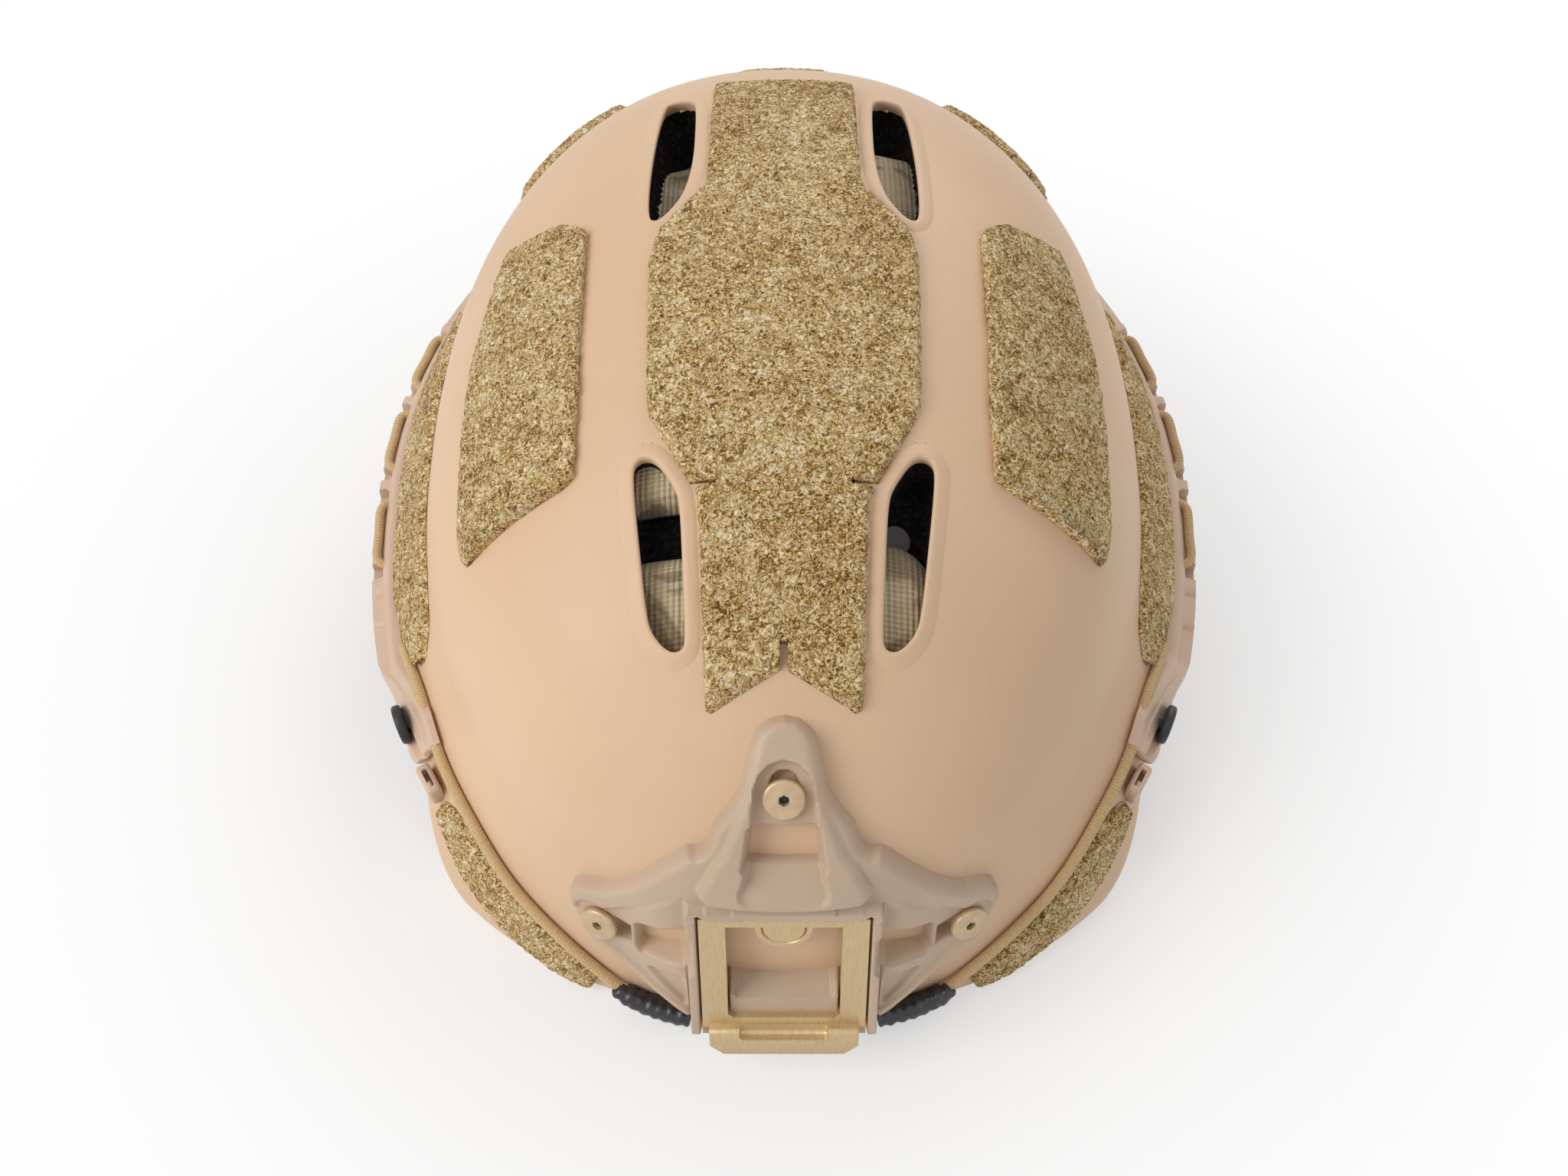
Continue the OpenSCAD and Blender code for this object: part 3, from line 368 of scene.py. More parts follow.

# %% [markdown]
# # Soft finishes
# Loop pile is a mat of tiny threads: a clumpy noise picks between a deep olive, partly the threads' own
# colour and partly painted shade between them, the thread's tan and a pale painted highlight. Cord and
# webbing have ribs that follow the piece, so they read the UV map, which is in millimetres. The pads are
# simulated and remeshed, which loses their UV map, so knit reads Object coordinates.

# %% Loop pile
loop_pile = Paint("loop_pile", Roughness=0.9, Sheen_Weight=0.12, Sheen_Roughness=0.5, Specular_IOR_Level=0.15)
spot = loop_pile.place()
threads = loop_pile.grain(spot, 760, 3.0, 0.62, 2.0)
clumps = loop_pile.grain(spot, 300, 2.0, 0.6, 1.2)
patches = loop_pile.grain(spot, 60, 2.0)
mass = threads * 0.78 + clumps * 0.22 + (patches - 0.5) * 0.1
# The darkest stop is partly painted shade between the threads, and the palest is a painted highlight on them.
loop_pile.feed(Base_Color=loop_pile.ramped(mass, [
                   (0.4, tone(110, 78, 28)), (0.46, tone(190, 150, 84)), (0.525, tone(238, 200, 132)),
                   (0.585, tone(255, 244, 208))]),
               Normal=loop_pile.bumped(mass, 1.0, 0.0014))

# %% Elastic cord and rubber
elastic_cord = Paint("elastic_cord", Roughness=0.7, Sheen_Weight=0.25, Specular_IOR_Level=0.25)
ribs = elastic_cord.bands(elastic_cord.place(uv=True), "Y", 0.9, 1.2)
threads = elastic_cord.grain(elastic_cord.place(), 1400, 2.0)
elastic_cord.feed(Base_Color=elastic_cord.ramped(ribs * 0.6 + threads * 0.4, [
                      (0.2, tone(196, 156, 104)), (0.5, tone(230, 196, 144)), (0.85, tone(246, 220, 176))]),
                  Normal=elastic_cord.bumped(ribs, 0.5, 0.0003))
black_sleeve = Paint("black_sleeve", Roughness=0.3, Specular_IOR_Level=0.6)
wear = black_sleeve.grain(black_sleeve.place(), 300, 3.0)
black_sleeve.feed(Base_Color=black_sleeve.ramped(wear, [(0.3, tone(26, 24, 30)), (0.75, tone(44, 42, 50))]),
                  Roughness=wear * 0.25 + 0.18, Normal=black_sleeve.bumped(wear, 0.3, 0.0006))

# %% Foam, knit and webbing
liner_foam = Paint("liner_foam", Roughness=0.9, Specular_IOR_Level=0.2)
beads = liner_foam.node("ShaderNodeTexVoronoi", {"feature": "DISTANCE_TO_EDGE"}, {
    "Vector": liner_foam.place(), "Scale": 420})
liner_foam.feed(Base_Color=liner_foam.ramped(beads, [(0.02, tone(24, 23, 23)), (0.3, tone(48, 46, 45))]),
                Normal=liner_foam.bumped(beads.step(0.0, 0.25), 0.5, 0.0005))


def knit(name, dark, mid, pale, patchy):
    paint = Paint(name, Roughness=0.88, Sheen_Weight=0.4, Sheen_Roughness=0.5, Specular_IOR_Level=0.2)
    at = paint.place()
    ribs = paint.bands(at, "X", 230.0, 0.6, 1.0)
    stitches = paint.bands(at, "Y", 300.0, 1.0, 1.0)
    fuzz = paint.grain(at, 1300, 2.0)
    patches = paint.grain(at, patchy, 3.0, 0.45, 1.2)
    base = paint.ramped(patches, [(0.38, dark), (0.46, mid), (0.58, mid), (0.64, pale)])
    shade = paint.node("ShaderNodeMix", {"data_type": "RGBA", "blend_type": "MULTIPLY"}, {
        0: ribs * 0.35 + stitches * 0.2, 6: base, 7: (0.35, 0.33, 0.3, 1)}, out=2)
    paint.feed(Base_Color=shade, Normal=paint.bumped(ribs * 0.6 + stitches * 0.4 + fuzz * 0.3, 0.7, 0.0008))
    return paint


knit_pad = knit("knit_pad", tone(172, 154, 124), tone(230, 211, 174), tone(250, 240, 214), 55)
chin_padding = knit("chin_padding", tone(38, 36, 34), tone(46, 44, 42), tone(54, 52, 50), 90)
webbing = Paint("webbing", Roughness=0.78, Sheen_Weight=0.2, Specular_IOR_Level=0.25)
spot = webbing.place(uv=True)
weave = webbing.bands(spot, "X", 0.35, 0.4) * 0.55 + webbing.bands(spot, "Y", 0.28, 0.4) * 0.45
webbing.feed(Base_Color=webbing.ramped(weave, [(0.2, tone(20, 20, 22)), (0.8, tone(52, 51, 52))]),
             Normal=webbing.bumped(weave, 0.6, 0.0005))

# %% [markdown]
# # The camera and the light
# The photograph looks down at the brow from close by, so the lens is a little wide and the crown
# looks large. Everything stands on a white table under soft light that comes mostly from the left.

# %% Camera
camera_data = bpy.data.cameras.new("camera")
camera_data.lens = 37.0
camera_data.sensor_width = 36.0
camera = linked("camera", camera_data)
camera.location = (0, -0.3308, 0.4116)
camera.rotation_euler = (math.radians(40), 0, 0)
bpy.context.scene.camera = camera
bpy.context.scene.view_settings.view_transform = "Standard"

# %% The table
WHITE = (1, 1, 1, 1)
table_paint = Paint("table_paint", Base_Color=(0.93, 0.93, 0.93, 1), Roughness=0.9, Specular_IOR_Level=0.1)
seen = table_paint.node("ShaderNodeLightPath", out="Is Camera Ray")
for ray in ("Is Glossy Ray", "Is Transmission Ray"):
    seen = seen.maths("MAXIMUM", seen, table_paint.node("ShaderNodeLightPath", out=ray))
glow = table_paint.node("ShaderNodeEmission", {}, {"Color": WHITE, "Strength": 1.0})
spot = table_paint.node("ShaderNodeTexCoord", out="Object")
far = table_paint.node("ShaderNodeVectorMath", {"operation": "LENGTH"}, {0: spot}, out="Value")
white = (far.step(0.08, 0.3) * 0.6 + 0.4) * seen
mixed = table_paint.node("ShaderNodeMixShader", {}, {
    0: white, 1: Wire(table_paint, table_paint.shader.outputs[0]), 2: glow})
table_paint.tree.links.new(mixed.socket, table_paint.tree.nodes["Material Output"].inputs[0])
bm = bmesh.new()
bmesh.ops.create_grid(bm, x_segments=8, y_segments=8, size=4)
mesh = meshed("table", bm)
mesh.materials.append(table_paint.material)
table = linked("table", mesh)
table.location.z = -0.0002

# %% Light
world = bpy.data.worlds.new("world")
bpy.context.scene.world = world
world.use_nodes = True
tree = world.node_tree
sky, plain = tree.nodes["Background"], tree.nodes.new("ShaderNodeBackground")
for background, strength in ((sky, 0.39), (plain, 1.0)):
    background.inputs["Color"].default_value = WHITE
    background.inputs["Strength"].default_value = strength
rays = tree.nodes.new("ShaderNodeLightPath").outputs
seen = rays["Is Camera Ray"]
for ray in ("Is Glossy Ray", "Is Transmission Ray"):
    either = tree.nodes.new("ShaderNodeMath")
    either.operation = "MAXIMUM"
    tree.links.new(seen, either.inputs[0])
    tree.links.new(rays[ray], either.inputs[1])
    seen = either.outputs[0]
choice = tree.nodes.new("ShaderNodeMixShader")
for number, source in enumerate((seen, sky.outputs[0], plain.outputs[0])):
    tree.links.new(source, choice.inputs[number])
tree.links.new(choice.outputs[0], tree.nodes["World Output"].inputs[0])


AIM = Vector((0, 0, 0.08))  # half the helmet's height


def lamp(name, spot_m, size_m, watts, blue=0.96):
    data = bpy.data.lights.new(name, "AREA")
    data.size = size_m
    data.energy = watts
    data.color = (1.0, 0.98, blue)
    obj = linked(name, data)
    obj.location = spot_m
    obj.rotation_euler = (AIM - obj.location).to_track_quat("-Z", "Y").to_euler()


lamp("key", (-0.75, -0.45, 0.75), 0.7, 6.4)
lamp("fill", (0.8, -0.5, 0.6), 0.8, 0.8, 0.97)
lamp("back", (0.3, 0.7, 0.75), 0.6, 3.0)

# %% [markdown]
# # The shell
# The wall is one grid rolled round the head, closed at the crown and cut off at a rim that is low at
# the brow and nape and high over the ears. The faces over the four vents are taken out, and each
# hole gets its own rolled lip, which hides the cut edge. A small bevel rounds the rim.

# %% Outlines of the vents
FRONT_VENT = [(25.0, -53.5), (26.6, -49.4), (31.0, -42.6), (34.2, -41.4), (36.3, -43.2), (36.3, -48.5),
              (34.3, -65), (32.4, -80), (30.6, -84.2), (27.0, -87.8), (23.8, -87.6), (23.3, -84.5),
              (24.2, -66)]
REAR_VENT = [(24.4, 43.5), (32.8, 29.6), (36.6, 33.6), (34.4, 84.6), (31.5, 87), (26.6, 86.4), (24.6, 82)]


def rounded(points, passes=3):
    for _ in range(passes):
        cut = []
        for a, b in zip(points, points[1:] + points[:1]):
            cut.append((mix(a[0], b[0], 0.25), mix(a[1], b[1], 0.25)))
            cut.append((mix(a[0], b[0], 0.75), mix(a[1], b[1], 0.75)))
        points = cut
    return points


def grown(points, by):
    made = []
    for before, here, after in zip(points[-1:] + points[:-1], points, points[1:] + points[:1]):
        dx, dy = after[0] - before[0], after[1] - before[1]
        reach = math.hypot(dx, dy)
        made.append((here[0] + dy / reach * by, here[1] - dx / reach * by))
    return made


def inside(x, y, points):
    within = False
    for a, b in zip(points, points[1:] + points[:1]):
        if (a[1] > y) != (b[1] > y) and x < (b[0] - a[0]) * (y - a[1]) / (b[1] - a[1]) + a[0]:
            within = not within
    return within


def area(points):
    return sum(a[0] * b[1] - b[0] * a[1] for a, b in zip(points, points[1:] + points[:1])) / 2


VENTS = []
for outline in (FRONT_VENT, REAR_VENT):
    smooth = rounded(outline)
    VENTS.append(smooth if area(smooth) > 0 else smooth[::-1])


def over_vent(x, y, z, margin):
    if z < CREASE or not 20 < abs(x) < 42:
        return False
    return any(inside(abs(x), y, grown(outline, margin)) for outline in VENTS)


# %% A helper for bevels
def bevelled(bm, edges, width, segments, clamp=False):
    bmesh.ops.bevel(bm, geom=edges, offset=width, segments=segments, profile=0.5, affect="EDGES", material=-1,
                    clamp_overlap=clamp)
    return bm


# %% The dome wall
def dome(high, low, across, along, margin, lift=0.0, rear_lift=0.0):
    rims = {}

    def spot_at(u, v, off):
        az = -180 + 360 * u
        key = (round(u, 6), off)
        if key not in rims:
            rims[key] = rim_z(az, off, lift + rear_lift * ramp(fold(az), 112, 142))
        share = 0.36
        if v < share:
            z = mix(rims[key], CREASE, v / share)
        else:
            first = math.asin((CREASE / (CROWN + off)) ** (BULGE / 2))
            z = (CROWN + off) * math.sin(mix(first, math.pi / 2, (v - share) / (1 - share))) ** (2 / BULGE)
        if v > 1 - 1e-6:
            return (0.0, 0.0, CROWN + off)
        return shell_point(az, z, off)

    def keep(u, v):
        return not over_vent(*spot_at(u % 1, v, high), margin)

    def place(u, v, w):
        return standing(spot_at(u, v, mix(high, low, w)))

    return shaped(place, across, along, (700, 300), seam=True, pole=True, keep=keep)


bm = dome(0.0, -WALL, 320, 120, 3.2)
rim = [e for e in bm.edges if e.calc_length() > 0.0024 and all(v.co.z < 0.045 for v in e.verts)
       and len(e.link_faces) == 2 and e.calc_face_angle(0) > 1.0]
print("rim edges to round:", len(rim))
piece("shell_skin", bevelled(bm, rim, 0.0009, 2), shell_paint, instead=["shell"])

# %% Rolled lips of the vents
LIP = [(0.7, -2.9), (0.3, -1.8), (0.0, -0.5), (0.08, 0.25), (0.4, 0.62), (0.9, 0.72), (1.7, 0.6), (2.7, 0.36),
       (3.7, 0.1), (4.5, -0.3), (5.8, -0.6)]  # reach from the opening, height over the shell


def vent_lip(side, outline):
    rings = [grown(outline, lat) for lat, _ in LIP]
    count = len(outline)

    def place(u, v, w):
        i = min(round(u * (len(LIP) - 1)), len(LIP) - 1)
        x, y = rings[i][round(v * count) % count]
        return standing((side * x, y, top_z(x, y, LIP[i][1])))

    return shaped(place, len(LIP) - 1, count, thick=False)


for side, side_name in SIDES:
    for outline, end in zip(VENTS, ("front", "rear")):
        piece(f"vent_lip_{end}_{side_name}", vent_lip(side, outline), shell_paint, sharp=80)

# %% [markdown]
# # Loop panels
# Hook-and-loop panels are mats of short thread glued to the shell. Each is a grid between two edges
# that follow the panel's outline. Its thickness rounds off towards the edge, and a clumpy noise lifts
# the surface, so that the mat is uneven in the mesh and not only in its material. The slits of the
# centre panel are faces left out.

# %% Reading rows
def at_key(keys, t, i):
    if t <= keys[0][0]:
        return keys[0][i]
    for a, b in zip(keys, keys[1:]):
        if t <= b[0]:
            return mix(a[i], b[i], (t - a[0]) / (b[0] - a[0]))
    return keys[-1][i]


def softened(keys, t, i, reach):
    return sum(at_key(keys, t + reach * k / 2, i) for k in (-2, -1, 0, 1, 2)) / 5


def rounding(d, r):
    t = min(1.0, max(0.0, d / r))
    return math.sqrt(max(0.0, 1 - (1 - t) ** 2))


# %% One mat of loop pile
PILE_T = 2.5
PILE_STEP = 0.62
CLUMPS = ((1.25, 0.34), (2.7, 0.22), (0.3, 0.16))  # how often each noise turns per mm, and its height


def loop_mat(name, keys, on_top, soften, corner=2.5, front=None, nick=None):
    t0, t1 = keys[0][0], keys[-1][0]
    middle_t = (t0 + t1) / 2
    ends = (at_key(keys, middle_t, 1), at_key(keys, middle_t, 2))

    def worn(t, s, off):
        return (s, t, top_z(s, t, off)) if on_top else shell_point(t, s, off)

    here, there = worn(middle_t, ends[0], 0), worn(middle_t + 1, ends[0], 0)
    per_t = math.dist(here, there)
    length = (t1 - t0) * per_t
    width = max(math.dist(worn(k[0], k[1], 0), worn(k[0], k[2], 0)) for k in keys)

    def spread(u, v):
        t = mix(t0, t1, v)
        dv = min(v, 1 - v) * length
        low, high = softened(keys, t, 1, soften), softened(keys, t, 2, soften)
        if front:
            t = mix(front(mix(low, high, u)), t1, v)
        tuck = corner - math.sqrt(max(0.0, corner ** 2 - max(0.0, corner - dv) ** 2))
        wave = 0.45 * noise.noise(Vector((v * length * 0.55, 3.0, low)))
        wave_high = 0.45 * noise.noise(Vector((v * length * 0.55, 9.0, high)))
        sign = 1 if high > low else -1
        s = mix(low + sign * (tuck + wave), high - sign * (tuck + wave_high), u)
        return t, s, min(min(u, 1 - u) * abs(high - low), dv)

    def place(u, v, w):
        t, s, reach = spread(u, v)
        spot = Vector(worn(t, s, 0))
        edge = rounding(reach, 1.5)
        clump = sum(noise.noise(spot * size) * height for size, height in CLUMPS)
        rise = 0.35 + (PILE_T - 0.35) * edge + clump * mix(0.35, 1.0, edge)
        return standing(worn(t, s, mix(max(0.3, rise), 0.08, w)))

    def keep(u, v):
        return not nick(*spread(u, v)[:2])

    bm = shaped(place, max(8, int(width / PILE_STEP)), max(8, int(length / PILE_STEP)), (width, length),
                keep=keep if nick else None)
    piece(name, bm, loop_pile, instead=[name], sharp=180)


def centre_nick(t, s):
    return (abs(s) < 1.0 and t < -86.8) or (abs(s) > 16.0 and abs(t + 50.3) < 0.75)


# %% The panels, as rows of a place and its two edges
CENTRE = [[-101, -18.5, 18.5], [-53, -20.5, 20.5], [-50.5, -22, 22], [-30.5, -33, 33], [-26.5, -33.8, 33.8],
          [18, -34.8, 34.8], [26, -33, 33], [41, -21.3, 21.3], [43, -20.5, 20.5], [94, -20, 20]]
loop_mat("centre_loop_panel", CENTRE, True, 1.2, 1.6,
         front=lambda x: -92.2 - 8.8 * min(1.0, abs(x) / 18.5), nick=centre_nick)
UPPER = [[-54, 81.8, 80.5], [-49, 84, 65.5], [-45, 84.8, 51.5], [-18, 85.4, 51.2], [-6, 85, 52],
         [6, 84, 51.8], [33, 78.6, 52.2], [38.4, 77, 61]]
SIDE = [[66.5, 8.2, 10.4], [70, 5.4, 15.6], [76, 2.2, 18.6], [90, 2.2, 18], [102, 2.2, 15],
        [114, 2.4, 7.6]]
FRONT_QUARTER = [[20.6, -29.5, -24], [24, -30.2, -18.5], [33, -25, -9], [42, -18, -3], [48, -11.5, -2.5],
                 [50.4, -9.2, -4.6]]
REAR_QUARTER = [[128, 20, 34], [132, 10, 42], [142, 8, 46], [150, 8, 44], [153, 16, 34]]
REAR = [[172, -40, 38], [174, -44, 42], [180, -46, 43], [186, -44, 42], [188, -40, 38]]


def mirrored(keys, side, on_top):
    if side > 0:
        return keys
    if on_top:
        return [[t, -a, -b] for t, a, b in keys]
    return [[-t, a, b] for t, a, b in reversed(keys)]


PANELS = [("upper_side_loop", UPPER, True, 2.0), ("side_loop", SIDE, False, 0.8),
          ("front_quarter_loop", FRONT_QUARTER, False, 0.8), ("rear_quarter_loop", REAR_QUARTER, False, 0.8)]
for side, side_name in SIDES:
    for panel, keys, on_top, soften in PANELS:
        loop_mat(f"{panel}_{side_name}", mirrored(keys, side, on_top), on_top, soften)
loop_mat("rear_loop_panel", REAR, False, 0.8)

# %% [markdown]
# # The brow shroud
# The shroud is one moulding that wraps the brow: two arms, a lobe with a screw pocket, a scoop, a hood
# and two bars that frame the metal insert. A height above the shell, worked out at every point of a
# fine grid, describes all of it. Openings are faces taken out, and the grid's thickness gives them
# walls. Distances to drawn outlines round the edges.

# %% The shroud's own coordinates
ARM = 5.5
PLATE_Z, PLATE_STAND, PLATE_EXTRA = 12.0, 9.5, math.radians(6)
PLATE_LEAN = math.atan2(front_y(0, PLATE_Z + 25) - front_y(0, PLATE_Z - 25), 50) + PLATE_EXTRA
PLATE_Y = (front_y(0, PLATE_Z + 25) + front_y(0, PLATE_Z - 25)) / 2 - PLATE_STAND
FACE = Vector((0, -math.cos(PLATE_LEAN), math.sin(PLATE_LEAN)))
UP = Vector((0, math.sin(PLATE_LEAN), math.cos(PLATE_LEAN)))
PLATE = Vector((0, PLATE_Y, PLATE_Z))


def brow(x, z):
    return Vector((x, front_y(x, z), z))


def brow_normal(x, z):
    across = brow(x + 0.5, z) - brow(x - 0.5, z)
    up = brow(x, z + 0.5) - brow(x, z - 0.5)
    return up.cross(across).normalized() * (-1 if up.cross(across).y > 0 else 1)


def brow_way(x, z):
    n = brow_normal(x, z)
    n.x *= ramp(abs(x), 26, 42)
    return n.normalized()


heights_z = [-30 + 0.25 * i for i in range(int(110 / 0.25))]
walk = [0.0]
for a, b in zip(heights_z, heights_z[1:]):
    pa, pb = brow(0, a) + brow_way(0, a) * ARM, brow(0, b) + brow_way(0, b) * ARM
    walk.append(walk[-1] + (pb - pa).length)
raised_z = [(brow(0, z) + brow_way(0, z) * ARM).z for z in heights_z]


def to_walk(z):
    return float(np.interp(z, raised_z, walk))


def to_walk_base(z):
    return float(np.interp(z, heights_z, walk))


def signed_reach(px, py, outline):
    best = np.full(px.shape, 1e9)
    within = np.zeros(px.shape, bool)
    for (ax, ay), (bx, by) in zip(outline, outline[1:] + outline[:1]):
        ex, ey = bx - ax, by - ay
        t = np.clip(((px - ax) * ex + (py - ay) * ey) / max(1e-9, ex * ex + ey * ey), 0, 1)
        best = np.minimum(best, np.hypot(px - ax - t * ex, py - ay - t * ey))
        if by != ay:
            crossing = ((ay > py) != (by > py)) & (px < ex * (py - ay) / ey + ax)
            within ^= crossing
    return np.where(within, best, -best)


def smooth_np(value, low, high):
    t = np.clip((value - low) / (high - low), 0, 1)
    return t * t * (3 - 2 * t)


def rounded_np(d, r):
    t = np.clip(d / r, 0, 1)
    return np.sqrt(np.clip(1 - (1 - t) ** 2, 0, 1))


def soft_max(a, b, k):
    return 0.5 * (a + b + np.sqrt((a - b) ** 2 + k * k))


def drawn(points):
    return [(x, to_walk(z)) for x, z in points]


# %% Outlines of the shroud, as half width and height
LOBE = [(-10, 70.7), (0, 70.7), (3.5, 70.2), (5.7, 69.2), (7.2, 67.9), (8.1, 66.3), (8.8, 64.6), (9.5, 62.4),
        (10.3, 60)]
BODY = LOBE + [(11.6, 57.9), (13.7, 55.4), (15.8, 53.1), (16.8, 51.9), (17.2, 50.1), (18.1, 48.1),
               (19.6, 46.4), (21.2, 45.4), (23.3, 45.2), (25.4, 43.5), (32.8, 36.3), (38, 31.2), (42.5, 27),
               (47, 22.8), (51, 20.6), (54, 18.8), (56, 16.6), (56.5, 14), (55.6, 10.4), (54, 6),
               (51, 2.8), (46, -0.4), (40, -4.6), (33, -10.4), (26, -17.2), (24.4, -18.8), (-10, -18.8)]
HOOD = LOBE + [(11.6, 57), (13.4, 53.4), (16, 48), (18.6, 42.4), (20.9, 38.6), (21.2, 36.4), (18.8, 34.2),
               (-10, 34.2)]
POCKET = [(-10, 65), (0, 65), (3.2, 64.4), (5.6, 62.8), (6.9, 60.5), (7.3, 57.5), (7.5, 52.6), (-10, 52.6)]
GAP_WINDOW = [(-10, 53), (7.3, 53), (7.9, 49), (8.6, 45.4), (-10, 45.4)]
SCOOP = [(-10, 45.8), (8.6, 45.8), (9.6, 42), (10.6, 39.4), (10.4, 37.6), (9, 36.4), (6.8, 36), (-10, 36)]
WEB = [(24.3, 33.6), (43.9, 18.6), (49.5, 14.8), (56, 11), (56, -20), (24.3, -20)]
ARM_HOLE = [(24.9, 21.2), (27, 20.6), (36, 17), (36.8, 16.2), (36.9, 8.6), (36.2, 7.6), (26, 9.9), (24.9, 11)]
RECESS = [(35, 1.2), (34.2, 2.6), (25.8, 4.2), (25.2, 3.4), (25.2, -10), (26, -10.6)]
SCREW_X, SCREW_Z, TOP_SCREW_Z = 45.0, 9.5, 54.7
BAY_HALF, BAR_HALF = 21.35, 24.4  # the insert's bay, and the outer faces of the bars beside it
POCKET_FLOOR = 3.5


# %% The grid that the moulding rises from
ACROSS, ALONG = 264, 268
GRID_HALF, GRID_LOW, GRID_HIGH = 58.6, -21.0, 68.0


def shroud_grid():
    """Points of the shell under the shroud, and the way out of it at each."""
    zs = np.interp(np.linspace(to_walk_base(GRID_LOW), to_walk_base(GRID_HIGH), ALONG + 1), walk, heights_z)
    base = np.zeros((ACROSS + 1, ALONG + 1, 3))
    way = np.zeros_like(base)
    for j, z in enumerate(zs):
        for i, x in enumerate(np.linspace(-GRID_HALF, GRID_HALF, ACROSS + 1)):
            base[i, j] = brow(x, z)
            way[i, j] = brow_way(x, z)
    return base, way


# %% The height of the moulding over the shell
def shroud_height(base, way):
    raised = base + way * ARM
    ax = np.abs(raised[..., 0])
    s = np.interp(raised[..., 2], raised_z, walk)
    plate, face, up = np.array(PLATE), np.array(FACE), np.array(UP)
    to_plate = ((plate - base) @ face) / (way @ face)
    lz = (base + way * to_plate[..., None] - plate) @ up

    def within(outline):
        return signed_reach(ax, s, drawn(outline))

    # Arms, the webs beside the insert and a strut along each
    body, web, near = within(BODY), within(WEB), smooth_np(ax, 44, 25)
    arm_h = (4.9 + 0.5 * near) * rounded_np(body, 2.2)
    web_h = (3.7 + near * np.clip(to_plate - 6.9, -0.6, 3.5)) * rounded_np(body, 1.6)
    height = arm_h + (web_h - arm_h) * smooth_np(web, -0.5, 0.5)
    strut = smooth_np(body, 4.6, 3.6) * smooth_np(-s, -to_walk(8), -to_walk(4.5)) * smooth_np(ax, 24.5, 25.5)
    height = height + strut * 0.9 * rounded_np(body, 1.4)
    height = height - 1.5 * smooth_np(within(RECESS), -0.3, 0.9)
    # Seats of the arms' screws
    seat = np.hypot(ax - 47.4, s - to_walk(SCREW_Z + 2.1)) - 6.3
    height = np.where((seat < 0) & (body > 0.8), np.minimum(height, 3.9), height)
    # Hood over the insert and lobe above it
    hood = within(HOOD)
    ridge_h = np.interp(s, [to_walk(z) for z in (33, 37, 44, 52, 60, 65, 69, 70.7)],
                        [8.6, 8.2, 7.6, 7.0, 6.6, 6.1, 5.3, 4.2])
    foot = ridge_h * (0.62 + 0.38 * rounded_np(hood, 2.6))
    hood_h = mix(ridge_h * rounded_np(hood, 3.4), foot, smooth_np(to_walk(47) - s, -2, 4))
    hood_h = np.where(hood > 0, hood_h, 0)
    height = np.where(hood > -2.0, soft_max(height, hood_h, 0.5), height)
    # Bars and brim round the insert, its bay, and the shelf in the bay
    bars = (ax > BAY_HALF) & (ax < BAR_HALF) & (lz < 24.2)
    bar_h = to_plate + 0.35 - 0.7 * (1 - rounded_np(np.minimum(ax - BAY_HALF, BAR_HALF - ax), 0.8))
    bar_h = mix(bar_h, height, smooth_np(lz, 18, 22.5))
    height = np.where(bars & (lz > -25.6), bar_h, height)
    brim = (ax < BAR_HALF - 0.55 * np.clip(20.6 - lz, 0, 4)) & (lz > 18.6) & (lz < 22.6)
    height = np.where(brim, np.maximum(height, to_plate + 0.9 * rounded_np(lz - 18.4, 1.0)), height)
    bay = (ax < BAY_HALF) & (lz < np.where(ax > 18.6, 20.0 + (ax - 18.6) * 0.7, 20.0))
    height = np.where(bay, to_plate - 5.4, height)
    height = np.where(bay & (lz < -23.6), to_plate - 2.2, height)
    shelf = (ax < 14.2) & (lz < np.where(ax > 12.2, -11.8 - (14.2 - ax) * 0.3, -13.4)) & (lz > -19.8)
    height = np.where(shelf, to_plate - 1.9, height)
    # Screw pocket in the lobe, and the scoop below it
    pocket, scoop = within(POCKET), within(SCOOP)
    sunk = mix(height, np.minimum(height, POCKET_FLOOR), smooth_np(pocket, -0.45, 0.15))
    height = np.where(pocket > -0.6, sunk, height)
    tongue = np.interp(s, [to_walk(z) for z in (36, 39, 42, 45.6)], [7.6, 6.4, 4.4, 2.0])
    sunk = mix(height, np.minimum(height, tongue), smooth_np(scoop, -0.7, 0.5))
    height = np.where(scoop > -0.8, sunk, height)
    # Holes through the moulding, then its outline
    slot = np.maximum(np.abs(ax - 42.0) - 1.5, np.abs(s - to_walk(11.6)) - 2.3)
    window = np.minimum(14.9 - ax, np.minimum(lz + 13.2, 17.2 - lz)) + shelf * -9
    screw_hole = 2.5 - np.hypot(ax, np.maximum(0, np.abs(s - to_walk(60.6)) - 0.9))
    for hole in (within(GAP_WINDOW), within(ARM_HOLE), 0.4 - slot, window, screw_hole):
        height = np.minimum(height, -4.5 * (hole + 0.1))
    return np.clip(np.minimum(height, 4.5 * (body + 0.15)), -1.0, None)


# %% The moulding
def shroud_body():
    base, way = shroud_grid()
    height = shroud_height(base, way)

    def keep(u, v):
        i, j = int(u * ACROSS), int(v * ALONG)
        return height[i:i + 2, j:j + 2].max() > -0.55

    def place(u, v, w):
        i, j = round(u * ACROSS), round(v * ALONG)
        return standing(base[i, j] + way[i, j] * mix(height[i, j], -1.6, w))

    return shaped(place, ACROSS, ALONG, (120, 118), keep=keep)


piece("shroud_body_moulding", shroud_body(), polymer_tan, instead=["shroud_body"],
      sharp=85)

